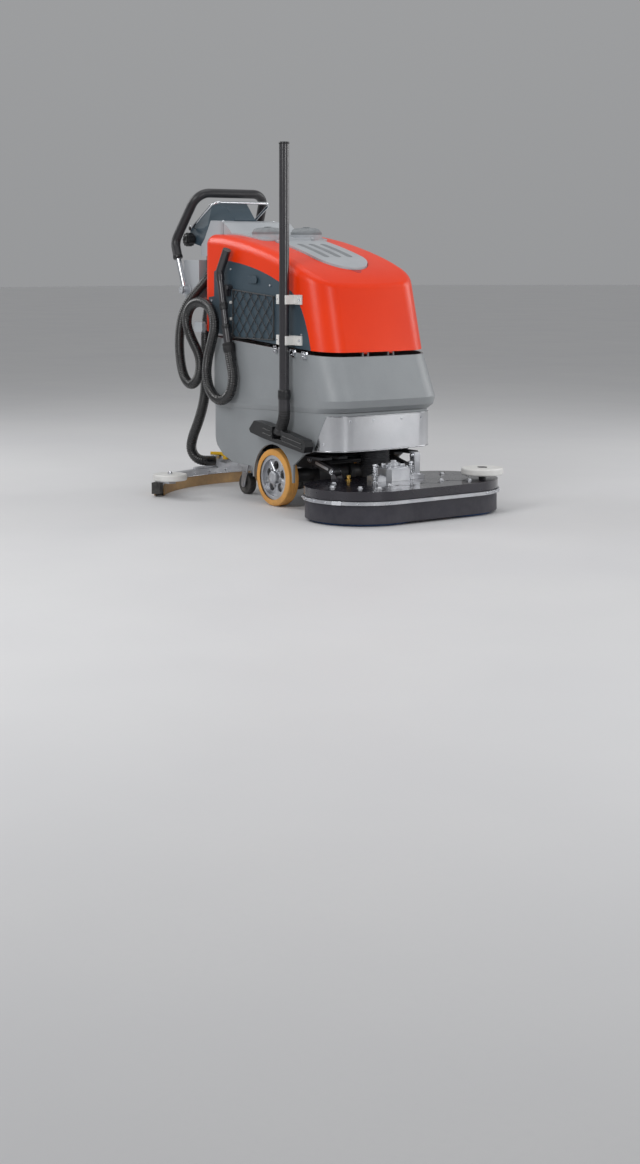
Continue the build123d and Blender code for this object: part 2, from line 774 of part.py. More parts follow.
def recovery_tank():
    """Orange recovery tank: shell, floor, lid seat, lid opening and panel pockets."""
    body = hood_body()
    rim = [e for e in body.edges() if e.center().Z > 700 and abs(e.tangent_at(0.5).Z) < 0.9]
    body = fillet(rim, TOP_EDGE_R)
    shell = body & above_rim(RIM_GAP)
    shell -= hood_body(HOOD_WALL) & above_rim(RIM_GAP + 8) & (Pos(0, 0, ROOF_DROP) * hood_top())
    shell -= lid_tall(2.5) & above_crown(LID_PROUD - LID_DEPTH - 0.5)
    shell -= lid_tall(-16)
    for x, y in dome_places():
        shell -= Pos(x, y, 900) * Cylinder(38, 140)
    for s in (1, -1):
        y0, y1 = (228, 240) if s > 0 else (-240, -228)
        shell -= panel_prism(y0, y1)
    x, z = TILT_AXIS
    return shell + hinge_knuckles() - disc_y(x, -75, 75, z, 2.5 + RUN_FIT)


def side_panel(sign):
    """Dark side panel set into the hood."""
    y0, y1 = (228, 231.5) if sign > 0 else (-231.5, -228)
    return panel_prism(y0, y1) & above_rim(RIM_GAP)


NET = [(-186, 566), (-186, 736), (66, 716), (66, 566)]


def net_pocket():
    """Net pocket lying against the right side panel."""
    return side_plate(NET, -238, -231.5)


def panel_studs():
    """White studs beside the net."""
    places = [(-197, 690), (-197, 632), (-197, 578)]
    return [disc_y(x, -238, -231.5, z, 5) for x, z in places]


def wand_clip(z):
    """U-shaped clip with its wide backing plate."""
    clip = block(84, 226, -238, -231.5, z - 16, z + 16)
    clip += block(WAND_X - 25, WAND_X + 25, -272, -236, z - 15, z + 15)
    clip -= disc_z(WAND_X, WAND_Y, z - 40, z + 40, WAND_R + 0.3)
    clip -= block(WAND_X - WAND_R - 0.3, WAND_X + WAND_R + 0.3, -300, WAND_Y, z - 40, z + 40)
    return clip


def disc_z(x, y, z0, z1, r):
    """A round bar along Z."""
    return rod((x, y, z0), (x, y, z1), r)


def top_cover():
    """Light grey cover behind the lid, rising to the rear cowl."""
    ramp = [(-392, 880), (-392, 976), (-372, 972), (-322, 934), (-262, 931), (-118, 909), (-118, 880)]
    cover = side_plate(ramp, -146, 146)
    for x, y in dome_places():
        cover += Pos(x, y, CAP_SEAT_Z - 20) * Cylinder(CAP_R + 2, 40)
    for x, y in dome_places():
        cover -= Pos(x, y, CAP_SEAT_Z + 30) * Cylinder(CAP_R + 2.5, 60)
        cover -= Pos(x, y, 900) * Cylinder(38, 160)
    keep = Pos(-260, 0, 800) * extrude(RectangleRounded(264, 292, 24), 300)
    cover = cover & keep & above_crown(0.0)
    return cover


def lid_hinge():
    """Hinge lugs and pin behind the lid."""
    parts = []
    for s in (1, -1):
        y0, y1 = sorted((s * 52, s * 64))
        x, z = HINGE
        lug = disc_y(x, y0, y1, z, 6) + block(x - 6, x + 4, y0, y1, 896, z)
        lug -= hood_top()
        parts.append(lug)
    return parts[0] + parts[1] + disc_y(HINGE[0], -60, 60, HINGE[1], 2.5)


def tank_lid():
    """Long lid with a round front end, three hollows and its hinge barrel."""
    lid = lid_tall(0.0) & (Pos(0, 0, LID_PROUD) * hood_top()) & above_crown(LID_PROUD - LID_DEPTH)
    for y in (-50, 0, 50):
        groove = Pos(38, y, 700) * extrude(SlotOverall(172, 24), 400)
        lid -= groove & above_crown(LID_PROUD - 3.0)
    for s in (1, -1):
        y0, y1 = sorted((s * 50, s * 66))
        lid -= block(LID_X0 - 5, LID_X0 + 5, y0, y1, 860, 940)
    lid += disc_y(HINGE[0], -50, 50, HINGE[1], 5) + block(HINGE[0], LID_X0 + 3, -50, 50, 905, HINGE[1] + 3)
    return lid - disc_y(HINGE[0], -80, 80, HINGE[1], 2.5 + RUN_FIT)


def filter_cap(index):
    """Ribbed dome cap that twists in its socket."""
    x, y = dome_places()[index]
    dome = Pos(x, y, CAP_SEAT_Z + 4.65) * Cylinder(CAP_R, 8.7)
    dome += Pos(x, y, 910) * Cylinder(37.7, 40)
    cover = scale(Sphere(CAP_R - 2), (1, 1, 0.34)) & Pos(0, 0, 30) * Box(200, 200, 60)
    dome += Pos(x, y, CAP_SEAT_Z + 9) * cover
    for i in range(4):
        rib = Pos(x, y, CAP_SEAT_Z + 8) * Rot(0, 0, 45 * i + 20) * Rectangle(84, 6)
        dome += extrude(rib, 14)
    return dome


# ---- wand and hoses -----------------------------------------------------------------------
def wand_tube():
    """Straight suction tube with its lower cuff and bent neck."""
    tube = pipe((WAND_X, WAND_Y, 398), (WAND_X, WAND_Y, WAND_TOP), WAND_R, 2)
    cuff = pipe((WAND_X, WAND_Y, 335), (WAND_X, WAND_Y, 402), 20, 3.3)
    neck = rod((WAND_X, WAND_Y, 345), (WAND_X, WAND_Y, 320), 19)
    neck += rod((WAND_X, WAND_Y, 324), NECK_END, 17)
    neck += rod((104, -260.5, NOZZLE_PIVOT[1]), (180, -260.5, NOZZLE_PIVOT[1]), 5)
    return tube + cuff + neck


NECK_END = (144.0, -262.0, 268.0)
NOZZLE_PIVOT = (142.0, 262.0)


def nozzle():
    """Floor nozzle with its swivel cradle."""
    x, z = NOZZLE_PIVOT
    head = side_plate([(-22, 262), (8, 292), (60, 288), (296, 246), (304, 226), (296, 204), (60, 236),
                       (-14, 250)], -278, -243)
    head = fillet(head.edges().filter_by(Axis.Y), 5)
    head -= block(x - 26, x + 26, -300, -200, z - 24, z + 50)
    return head - rod((90, -260.5, z), (194, -260.5, z), 5 + RUN_FIT)


TOOL_Y = -254.5


def hand_tool():
    """Bent hand tube with its grip and cuff."""
    y = TOOL_Y
    grip = bent_tube([(-190, y, 874), (-236, y, 797), (-232, y, 765)], [30], 15)
    tube = rod((-232, y, 766), (-196, y, 600), 12.5)
    cuff = rod((-196, y, 602), (-184, y, 549), 15)
    return grip, tube, cuff


def tool_holder():
    """Clip that holds the hand tube against the side panel."""
    return block(-236, -200, -238, -231.5, 712, 752) + disc_y(-196, -252, -231.5, 742, 8)


ACCESSORY_HOSE = [(-472, -131, 838), (-472, -131, 792), (-479, -178, 738), (-504, -230, 672),
                  (-530, -238, 584), (-534, -236, 492), (-512, -234, 412), (-462, -230, 378),
                  (-420, -220, 420), (-414, -222, 490), (-436, -246, 552), (-452, -260, 614),
                  (-420, -264, 672), (-350, -265, 694), (-278, -265, 672), (-248, -265, 612),
                  (-276, -263, 550), (-308, -260, 488), (-318, -260, 425), (-288, -260, 364),
                  (-226, -260, 340), (-166, -260, 364), (-142, -259, 425), (-170.2, -254.5, 488.05),
                  (-184, -254.5, 549)]

SQUEEGEE_HOSE = [(-424, -131, 838), (-424, -131, 786), (-444, -156, 706), (-462, -166, 610),
                 (-470, -164, 510), (-474, -160, 420), (-488, -156, 330), (-532, -154, 245),
                 (-578, -152, 184), (-600, -148, 134), (-594, -128, 98), (-575, -98, 88), (-575, -62, 88)]


def main():
    write("solution_tank", solution_tank())
    write("steel_apron", steel_apron())
    write("chassis_frame", chassis_frame())
    write("drive_transaxle", drive_transaxle())
    write("battery_pack", *battery_pack())
    write("rear_column", rear_column(), *handle_brackets(), hose_hook())
    write("rear_cowl", rear_cowl())
    write("console_shell", console_shell())
    write("display_window", display_window())
    write("console_knob", console_knob())
    write("speed_dial", dial())
    write("emergency_stop", emergency_stop())
    write("key_switch", key_switch())
    for i, name in enumerate(("suction_button", "water_button", "brush_button")):
        write(name, console_button(i))
    write("control_bezels", *control_bezels())
    write("bail_switch", bail())
    write("handle_grip", handle_grip())
    write("handle_legs", *handle_legs())
    write("hose_ports", *hose_ports())
    write("tank_latches", *tank_latches())
    for sign, side in ((-1, "right"), (1, "left")):
        write(f"drive_tyre_{side}", drive_tyre(sign))
        write(f"drive_hub_{side}", drive_hub(sign))
        write(f"caster_fork_{side}", caster_fork(sign))
        write(f"caster_wheel_{side}", caster_wheel(sign))
        write(f"brush_{side}", brush_plate(sign), brush_bristles(sign))
        write(f"squeegee_roller_{side}", squeegee_roller(sign))
    write("deck_plate", deck_plate())
    write("deck_band", deck_band())
    write("deck_skirt", deck_skirt())
    write("deck_gearbox", deck_gearbox(), deck_link())
    write("brush_motor", deck_motors())
    write("deck_studs", *deck_studs())
    write("deck_roller", deck_roller())
    write("deck_arms", deck_arms())
    write("squeegee_arm", squeegee_arm())
    write("squeegee_beam", squeegee_beam(), *squeegee_socket())
    write("squeegee_blades", *squeegee_blades())
    write("squeegee_ends", *squeegee_ends())
    write("clamp_lever", clamp_lever())
    write("recovery_tank", recovery_tank())
    write("side_panels", side_panel(1), side_panel(-1))
    write("net_pocket", net_pocket())
    write("wand_clips", wand_clip(570), wand_clip(706), *panel_studs())
    write("top_cover", top_cover(), lid_hinge())
    write("tank_lid", tank_lid())
    write("filter_cap_left", filter_cap(0))
    write("filter_cap_right", filter_cap(1))
    write("wand_tube", wand_tube())
    write("floor_nozzle", nozzle())
    write("hand_tool", *hand_tool(), tool_holder())
    write("accessory_hose", hose("accessory hose", ACCESSORY_HOSE, HOSE_R))
    write("squeegee_hose", hose("squeegee hose", SQUEEGEE_HOSE, SQ_HOSE_R))


main()
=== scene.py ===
"""Looks and fine parts of the floor scrubber machine, built round its CAD frame.

Row frame: +X forward, +Y left, +Z up. Lengths are in mm unless a comment says metres, and MM turns them
into Blender's metres.
"""

import json
import math

import bmesh
import bpy
from mathutils import Matrix, Vector
from mathutils.bvhtree import BVHTree


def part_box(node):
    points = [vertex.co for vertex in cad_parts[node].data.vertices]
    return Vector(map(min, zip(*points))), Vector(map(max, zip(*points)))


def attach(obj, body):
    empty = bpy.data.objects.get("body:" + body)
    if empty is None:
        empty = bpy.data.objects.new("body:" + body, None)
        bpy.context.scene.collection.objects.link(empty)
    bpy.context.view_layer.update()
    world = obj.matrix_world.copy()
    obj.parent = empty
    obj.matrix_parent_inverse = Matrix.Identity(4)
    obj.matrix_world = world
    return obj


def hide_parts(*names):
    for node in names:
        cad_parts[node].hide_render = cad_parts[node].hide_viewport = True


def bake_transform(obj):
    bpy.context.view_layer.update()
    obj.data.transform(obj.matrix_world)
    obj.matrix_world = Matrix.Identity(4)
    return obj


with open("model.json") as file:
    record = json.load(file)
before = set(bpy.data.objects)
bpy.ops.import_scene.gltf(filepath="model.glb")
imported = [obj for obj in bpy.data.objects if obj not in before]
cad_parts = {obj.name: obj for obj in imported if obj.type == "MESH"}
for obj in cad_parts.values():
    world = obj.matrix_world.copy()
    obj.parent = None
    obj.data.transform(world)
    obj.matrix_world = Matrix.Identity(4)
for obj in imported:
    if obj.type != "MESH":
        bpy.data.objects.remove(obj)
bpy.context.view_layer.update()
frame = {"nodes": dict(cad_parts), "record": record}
NODES = frame["nodes"]
MM = 0.001
FORWARD, LEFT, UP = (1, 0, 0), (0, 1, 0), (0, 0, 1)
DOWN = (0, 0, -1)
ROOT = "chassis"


# ---- camera -------------------------------------------------------------------------------
def make_camera():
    azimuth, elevation = math.radians(53.21), math.radians(2.41)
    right = Vector((math.cos(azimuth), math.sin(azimuth), 0))
    back = Vector((math.sin(azimuth) * math.cos(elevation), -math.cos(azimuth) * math.cos(elevation),
                   math.sin(elevation)))
    up = back.cross(right)
    data = bpy.data.cameras.new("camera")
    data.lens = 55.12
    data.sensor_width = 36
    data.shift_x = -0.0086
    data.shift_y = -0.2122
    data.clip_end = 60
    camera = bpy.data.objects.new("camera", data)
    bpy.context.scene.collection.objects.link(camera)
    turn = Matrix((right, up, back)).transposed().to_4x4()
    camera.matrix_world = Matrix.Translation((5.009, -3.694, 0.838)) @ turn
    bpy.context.scene.camera = camera


make_camera()


# ---- materials ----------------------------------------------------------------------------
LOOKS = {}


def srgb(r, g, b):
    """Linear colour with full alpha from 0-255 values."""
    out = []
    for c in (r, g, b):
        c /= 255
        out.append(c / 12.92 if c <= 0.04045 else ((c + 0.055) / 1.055) ** 2.4)
    return (*out, 1.0)


def node(tree, kind, **inputs):
    """A new shader node; an underscore in an input's name stands for a space."""
    n = tree.nodes.new(kind)
    for key, value in inputs.items():
        n.inputs[key.replace("_", " ")].default_value = value
    return n


def noise(tree, coords, scale, detail=3.0, rough=0.55):
    """A noise value, finer with a larger scale."""
    n = node(tree, "ShaderNodeTexNoise", Scale=scale, Detail=detail, Roughness=rough)
    tree.links.new(coords, n.inputs["Vector"])
    return n.outputs["Fac"]


def ramp(tree, value, low, high, out_low=0.0, out_high=1.0):
    """Maps low..high to out_low..out_high, clamped."""
    n = node(tree, "ShaderNodeMapRange")
    for i, v in enumerate((low, high, out_low, out_high)):
        n.inputs[i + 1].default_value = v
    tree.links.new(value, n.inputs["Value"])
    return n.outputs["Result"]


def mix(tree, fac, a, b):
    """Mixes two colours; each is a colour or a socket."""
    n = tree.nodes.new("ShaderNodeMix")
    n.data_type = "RGBA"
    tree.links.new(fac, n.inputs["Factor"])
    for socket, value in ((n.inputs[6], a), (n.inputs[7], b)):
        if isinstance(value, tuple):
            socket.default_value = value
        else:
            tree.links.new(value, socket)
    return n.outputs[2]


def product(tree, a, b):
    """Multiplies a socket by a socket or a number."""
    n = tree.nodes.new("ShaderNodeMath")
    n.operation = "MULTIPLY"
    tree.links.new(a, n.inputs[0])
    if isinstance(b, float):
        n.inputs[1].default_value = b
    else:
        tree.links.new(b, n.inputs[1])
    return n.outputs[0]


def material(name, base, second, rough, metallic=0.0, patch=7.0, grain=900.0, bump=0.08, depth=0.0002,
             stretch=(1, 1, 1), coat=0.0, coat_rough=0.06, wear=None, edge=0.0012, sheen=0.0, specular=0.5,
             dust=None):
    """A surface with colour patches, fine relief, uneven gloss, edge wear and dust low down.

    Colours are 0-255 triples; rough is its least and most; wear and dust are (colour, strength); patch and
    grain are noise scales; depth and edge are in metres.
    """
    m = bpy.data.materials.new(name)
    LOOKS[name] = m
    m.use_nodes = True
    base, second = srgb(*base), srgb(*second)
    tree = m.node_tree
    shader = tree.nodes["Principled BSDF"]
    coords = tree.nodes.new("ShaderNodeTexCoord").outputs["Object"]
    mapping = node(tree, "ShaderNodeMapping", Scale=stretch)
    tree.links.new(coords, mapping.inputs["Vector"])
    fine = mapping.outputs["Vector"]

    patches = ramp(tree, noise(tree, coords, patch, 4.0), 0.35, 0.68)
    colour = mix(tree, patches, base, second)
    speckle = ramp(tree, noise(tree, fine, grain * 0.35, 2.0), 0.45, 0.75, 0.0, 0.35)
    colour = mix(tree, speckle, colour, second)
    bevel = tree.nodes.new("ShaderNodeBevel")
    bevel.samples = 4
    bevel.inputs["Radius"].default_value = edge
    if wear is not None:
        geometry = tree.nodes.new("ShaderNodeNewGeometry")
        dot = tree.nodes.new("ShaderNodeVectorMath")
        dot.operation = "DOT_PRODUCT"
        tree.links.new(bevel.outputs[0], dot.inputs[0])
        tree.links.new(geometry.outputs["Normal"], dot.inputs[1])
        edges = ramp(tree, dot.outputs["Value"], 0.99, 0.8)
        broken = ramp(tree, noise(tree, coords, 60.0, 4.0, 0.7), 0.42, 0.62)
        colour = mix(tree, product(tree, product(tree, edges, broken), wear[1]), colour,
                     srgb(*wear[0]))
    if dust is not None:
        place = tree.nodes.new("ShaderNodeSeparateXYZ")
        tree.links.new(coords, place.inputs[0])
        low = ramp(tree, place.outputs["Z"], 0.16, 0.0, 0.0, dust[1])
        film = product(tree, low, ramp(tree, noise(tree, coords, 22.0, 5.0, 0.65), 0.35, 0.7))
        colour = mix(tree, film, colour, srgb(*dust[0]))
    tree.links.new(colour, shader.inputs["Base Color"])
    gloss = ramp(tree, noise(tree, coords, patch * 3.1, 5.0, 0.6), 0.3, 0.7, rough[0], rough[1])
    tree.links.new(gloss, shader.inputs["Roughness"])
    relief = noise(tree, fine, grain, 3.0)
    bumper = node(tree, "ShaderNodeBump", Strength=bump, Distance=depth)
    tree.links.new(relief, bumper.inputs["Height"])
    tree.links.new(bevel.outputs[0], bumper.inputs["Normal"])
    tree.links.new(bumper.outputs[0], shader.inputs["Normal"])
    shader.inputs["Metallic"].default_value = metallic
    shader.inputs["Specular IOR Level"].default_value = specular
    shader.inputs["Coat Weight"].default_value = coat
    shader.inputs["Coat Roughness"].default_value = coat_rough
    shader.inputs["Sheen Weight"].default_value = sheen
    return m


GREY_DUST = ((150, 146, 140), 0.35)
material("orange_shell", (238, 58, 2), (228, 51, 1), (0.3, 0.4), patch=3.0, grain=1400, bump=0.05,
         coat=0.12, coat_rough=0.2, specular=0.3, edge=0.0)
material("tank_grey", (144, 148, 151), (132, 136, 139), (0.36, 0.48), patch=3.5, grain=1100, bump=0.1,
         wear=((180, 182, 184), 0.35), edge=0.002, dust=GREY_DUST)
material("light_grey", (172, 176, 180), (160, 164, 169), (0.34, 0.46), patch=5.0, grain=1300, bump=0.1,
         wear=((214, 216, 218), 0.4))
material("petrol", (58, 75, 86), (50, 66, 77), (0.42, 0.55), patch=5.0, grain=1000, bump=0.16,
         wear=((104, 122, 134), 0.45))
material("black_plastic", (22, 23, 25), (31, 32, 34), (0.28, 0.42), patch=9.0, grain=1200, bump=0.1,
         wear=((96, 97, 100), 0.5))
material("black_rubber", (20, 20, 22), (29, 28, 30), (0.5, 0.66), patch=12.0, grain=700, bump=0.18,
         wear=((78, 76, 74), 0.4), dust=GREY_DUST)
material("grip", (31, 31, 36), (25, 25, 29), (0.3, 0.42), patch=14.0, grain=800, bump=0.3, sheen=0.15)
material("stainless", (206, 207, 210), (188, 190, 194), (0.14, 0.26), 1.0, patch=4.0, grain=260,
         bump=0.06, stretch=(6, 6, 0.35), wear=((232, 232, 234), 0.6), dust=GREY_DUST)
material("chrome", (226, 228, 232), (208, 210, 215), (0.05, 0.14), 1.0, patch=16.0, grain=500,
         bump=0.03, stretch=(1, 1, 5))
material("silver", (206, 208, 212), (178, 180, 186), (0.26, 0.4), 0.85, patch=15.0, grain=650,
         bump=0.18, wear=((224, 225, 228), 0.7), dust=GREY_DUST)
material("frame_black", (36, 37, 41), (46, 47, 51), (0.4, 0.56), 0.25, patch=10.0, grain=620, bump=0.22,
         wear=((128, 128, 132), 0.6), dust=GREY_DUST)
material("deck_dark", (44, 42, 50), (35, 33, 40), (0.2, 0.3), 0.3, patch=7.0, grain=700, bump=0.08,
         wear=((150, 149, 156), 0.7), coat=0.5, coat_rough=0.12)
material("ochre_tyre", (230, 170, 88), (215, 152, 70), (0.46, 0.6), patch=14.0, grain=520, bump=0.2,
         wear=((236, 190, 122), 0.6), dust=((128, 108, 84), 0.5))
material("white_plastic", (226, 226, 224), (212, 211, 208), (0.34, 0.48), patch=15.0, grain=1000,
         bump=0.1, wear=((176, 174, 170), 0.4), dust=GREY_DUST)
material("blade", (188, 152, 104), (170, 134, 90), (0.46, 0.6), patch=18.0, grain=500, bump=0.2,
         dust=((108, 94, 78), 0.5))
material("yellow", (236, 190, 40), (224, 174, 28), (0.34, 0.46), patch=18.0, grain=1000, bump=0.1,
         wear=((246, 218, 110), 0.5))
material("red", (196, 34, 30), (178, 26, 24), (0.26, 0.38), patch=20.0, grain=1000, bump=0.06, coat=0.3,
         wear=((226, 110, 100), 0.4))
material("window", (20, 26, 34), (26, 32, 40), (0.06, 0.14), patch=10.0, grain=1500, bump=0.02,
         coat=0.6, coat_rough=0.03)
material("bristle", (52, 84, 132), (40, 68, 112), (0.5, 0.64), patch=20.0, grain=1600, bump=0.7,
         depth=0.002, stretch=(1, 1, 0.06))
material("net", (24, 24, 26), (36, 36, 40), (0.58, 0.74), patch=40.0, grain=2600, bump=0.5, sheen=0.3)
material("battery", (40, 42, 46), (52, 54, 58), (0.44, 0.58), patch=8.0, grain=900, bump=0.14,
         wear=((100, 100, 104), 0.4))
material("stripe_grey", (134, 138, 141), (122, 126, 130), (0.44, 0.58), patch=9.0, grain=1500, bump=0.2)
material("hose_black", (15, 15, 17), (22, 22, 24), (0.24, 0.34), patch=16.0, grain=1500, bump=0.05,
         coat=0.5, coat_rough=0.16, edge=0.0004)
material("brass", (206, 170, 96), (184, 146, 76), (0.24, 0.38), 1.0, patch=30.0, grain=900, bump=0.1,
         wear=((236, 208, 146), 0.6))
material("skirt_rubber", (47, 46, 56), (39, 38, 47), (0.44, 0.58), patch=5.0, grain=900, bump=0.4,
         depth=0.001, stretch=(1, 1, 0.04), dust=((88, 86, 90), 0.3))
material("wand_black", (40, 38, 43), (33, 32, 36), (0.26, 0.34), 0.1, patch=6.0, grain=900, bump=0.02,
         coat=0.9, coat_rough=0.14)
material("led_green", (96, 214, 120), (70, 190, 96), (0.2, 0.3), patch=50.0, grain=1500, bump=0.03,
         coat=0.5)
material("pale_print", (216, 220, 222), (204, 208, 211), (0.45, 0.55), patch=60.0, grain=1500,
         bump=0.05)


def look(obj, name):
    obj.data.materials.clear()
    obj.data.materials.append(LOOKS[name])


def smooth(mesh, degrees=34):
    """Smooth shading, with edges sharper than the angle kept."""
    for p in mesh.polygons:
        p.use_smooth = True
    mesh.set_sharp_from_angle(angle=math.radians(degrees))


# Each CAD node takes the look named by its slot in the record, apart from three that get one of their own.
SLOT_OF = {p.get("node"): p.get("material_slot") for p in frame["record"]["subparts"]}
CHANGED = {"deck_skirt": "skirt_rubber", "wand_tube": "wand_black", "hand_tool": "wand_black"}
for cad_name, cad_object in NODES.items():
    look(cad_object, CHANGED.get(cad_name, SLOT_OF.get(cad_name, "black_plastic")))


# ---- mesh helpers -------------------------------------------------------------------------
def add_object(name, bm, look_name, body=None, degrees=34):
    """Turns bm into a named object with a look, a material slot and, if given, a body that it rides."""
    bmesh.ops.recalc_face_normals(bm, faces=bm.faces)
    mesh = bpy.data.meshes.new(name)
    bm.to_mesh(mesh)
    bm.free()
    smooth(mesh, degrees)
    obj = bpy.data.objects.new(name, mesh)
    bpy.context.scene.collection.objects.link(obj)
    look(obj, look_name)
    if body:
        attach(obj, body)
    return obj


def basis(axis):
    """Two cross directions and the unit axis."""
    n = Vector(axis).normalized()
    u = n.orthogonal().normalized()
    return u, n.cross(u), n


def bridge(bm, rings, close=True):
    """Faces between rings of vertices, one ring to the next, and over both ends if close."""
    count = len(rings[0])
    for a, b in zip(rings, rings[1:]):
        for i in range(count):
            j = (i + 1) % count
            bm.faces.new((a[i], a[j], b[j], b[i]))
    if close:
        bm.faces.new(rings[0][::-1])
        bm.faces.new(rings[-1])


def lathe(bm, centre, axis, profile, segments=48, ribs=0, rib_depth=0.0, close=True):
    """Turns a profile of (radius, height) in mm about an axis; ribs wave the radius of marked points."""
    u, v, n = basis(axis)
    c = Vector(centre) * MM
    rings = []
    for point in profile:
        r, h = point[:2]
        ribbed = len(point) > 2
        ring = []
        for i in range(segments):
            a = 2 * math.pi * i / segments
            rr = r + (rib_depth * math.cos(ribs * a) if ribbed else 0.0)
            ring.append(bm.verts.new(c + (u * math.cos(a) + v * math.sin(a)) * rr * MM + n * h * MM))
        rings.append(ring)
    bridge(bm, rings, close)


def bolt(bm, centre, axis, r, washer=True):
    """Socket head bolt with a washer and a six-sided recess."""
    u, v, n = basis(axis)
    c = Vector(centre) * MM
    steps = 24
    profile = [(1.5, 0, 0), (1.5, 0.22, 0), (1.02, 0.22, 0)] if washer else [(1.02, 0, 0)]
    profile += [(1.02, 0.85, 0), (0.92, 1.0, 0), (0.56, 1.0, 1), (0.5, 0.55, 1)]
    rings = []
    for wide, high, hexed in profile:
        ring = []
        for i in range(steps):
            a = 2 * math.pi * i / steps
            rr = wide * r
            if hexed:
                rr *= math.cos(math.pi / 6) / math.cos((a % (math.pi / 3)) - math.pi / 6)
            ring.append(bm.verts.new(c + (u * math.cos(a) + v * math.sin(a)) * rr * MM + n * (high * r) * MM))
        rings.append(ring)
    bridge(bm, rings)


def bolts(name, body, look_name, places, axis, r, washer=True):
    """One piece made of a bolt at each place."""
    bm = bmesh.new()
    for place in places:
        bolt(bm, place, axis, r, washer)
    add_object(name, bm, look_name, body)


def prism(bm, outline, origin, u, v, n, depth, edge=0.6):
    """Extruded outline in mm with a small chamfer round its outer face."""
    u, v, n = Vector(u).normalized(), Vector(v).normalized(), Vector(n).normalized()
    o = Vector(origin)
    mid = Vector((sum(p[0] for p in outline), sum(p[1] for p in outline))) / len(outline)

    def ring(shrink, height):
        out = []
        for x, y in outline:
            d = Vector((x, y)) - mid
            k = max(0.0, 1 - shrink / max(d.length, 1e-6))
            q = mid + d * k
            out.append(bm.verts.new((o + u * q.x + v * q.y + n * height) * MM))
        return out

    bridge(bm, [ring(0, 0), ring(0, depth - edge), ring(edge, depth)])


def rounded(w, h, r):
    """Outline of a rounded rectangle about its middle, in mm."""
    steps = 6
    out = []
    for cx, cy, start in ((w / 2 - r, h / 2 - r, 0), (-w / 2 + r, h / 2 - r, 90),
                          (-w / 2 + r, -h / 2 + r, 180), (w / 2 - r, -h / 2 + r, 270)):
        for i in range(steps + 1):
            a = math.radians(start + 90 * i / steps)
            out.append((cx + r * math.cos(a), cy + r * math.sin(a)))
    return out


def sweep(bm, points, radius, segments, closed=False):
    """A tube along points in metres; radius is a number in metres or a function of the run length."""
    pts = [Vector(p) for p in points]
    count = len(pts)
    length = 0.0
    side = (pts[1] - pts[0]).orthogonal().normalized()
    rings = []
    for i, p in enumerate(pts):
        if closed:
            t = (pts[(i + 1) % count] - pts[i - 1]).normalized()
        else:
            t = (pts[min(i + 1, count - 1)] - pts[max(i - 1, 0)]).normalized()
        side = (side - t * side.dot(t)).normalized()
        other = t.cross(side)
        if i:
            length += (p - pts[i - 1]).length
        r = radius(length) if callable(radius) else radius
        rings.append([bm.verts.new(p + (side * math.cos(2 * math.pi * k / segments)
                                        + other * math.sin(2 * math.pi * k / segments)) * r)
                      for k in range(segments)])
    bridge(bm, rings + rings[:1] if closed else rings, not closed)


def tree_of(cad_name):
    """A CAD node's mesh, ready for ray casts in metres."""
    mesh = NODES[cad_name].data
    return BVHTree.FromPolygons([v.co.copy() for v in mesh.vertices],
                                [tuple(p.vertices) for p in mesh.polygons])


def stick(cad_name, origin, direction):
    """The place and outward direction where a ray in mm meets a CAD node."""
    hit = tree_of(cad_name).ray_cast(Vector(origin) * MM, Vector(direction).normalized())
    if hit[0] is None:
        raise ValueError(f"nothing of {cad_name} on that line")
    normal = hit[1] if hit[1].dot(Vector(direction)) < 0 else -hit[1]
    return hit[0] / MM, normal


def plate_on(bm, tree, outline, lift, thick, grid):
    """A thin plate that follows a CAD surface seen from above; outline is a closed XY polygon in mm."""
    above, missed = 1200.0, 0.9
    faces = bmesh.new()
    verts = [faces.verts.new((x, y, 0)) for x, y in outline]
    faces.faces.new(verts)
    low = min(p[0] for p in outline)
    high = max(p[0] for p in outline)
    x = low + grid
    while x < high:
        bmesh.ops.bisect_plane(faces, geom=faces.verts[:] + faces.edges[:] + faces.faces[:],
                               plane_co=(x, 0, 0), plane_no=FORWARD)
        x += grid
    bmesh.ops.triangulate(faces, faces=faces.faces)
    top = {}
    under = {}
    for v in faces.verts:
        hit = tree.ray_cast(Vector((v.co.x, v.co.y, above)) * MM, Vector(DOWN))
        z = hit[0].z if hit[0] else missed
        top[v.index] = bm.verts.new((v.co.x * MM, v.co.y * MM, z + (lift + thick) * MM))
        under[v.index] = bm.verts.new((v.co.x * MM, v.co.y * MM, z + lift * MM))
    faces.verts.index_update()
    for f in faces.faces:
        ids = [v.index for v in f.verts]
        bm.faces.new([top[i] for i in ids])
        bm.faces.new([under[i] for i in reversed(ids)])
    for e in faces.edges:
        if len(e.link_faces) == 1:
            a, b = e.verts[0].index, e.verts[1].index
            bm.faces.new((top[a], top[b], under[b], under[a]))
    faces.free()


# ---- hoses --------------------------------------------------------------------------------
# Routes in metres, from the socket under the cowl to the far end.
ACCESSORY_HOSE = [(-0.472, -0.131, 0.838), (-0.472, -0.131, 0.792), (-0.479, -0.178, 0.738),
                  (-0.504, -0.230, 0.672), (-0.530, -0.238, 0.584), (-0.534, -0.236, 0.492),
                  (-0.512, -0.234, 0.412), (-0.462, -0.230, 0.378), (-0.420, -0.220, 0.420),
                  (-0.414, -0.222, 0.490), (-0.436, -0.246, 0.552), (-0.452, -0.260, 0.614),
                  (-0.420, -0.264, 0.672), (-0.350, -0.265, 0.694), (-0.278, -0.265, 0.672),
                  (-0.248, -0.265, 0.612), (-0.276, -0.263, 0.550), (-0.308, -0.260, 0.488),
                  (-0.318, -0.260, 0.425), (-0.288, -0.260, 0.364), (-0.226, -0.260, 0.340),
                  (-0.166, -0.260, 0.364), (-0.142, -0.259, 0.425), (-0.1702, -0.2545, 0.48805),
                  (-0.184, -0.2545, 0.549)]
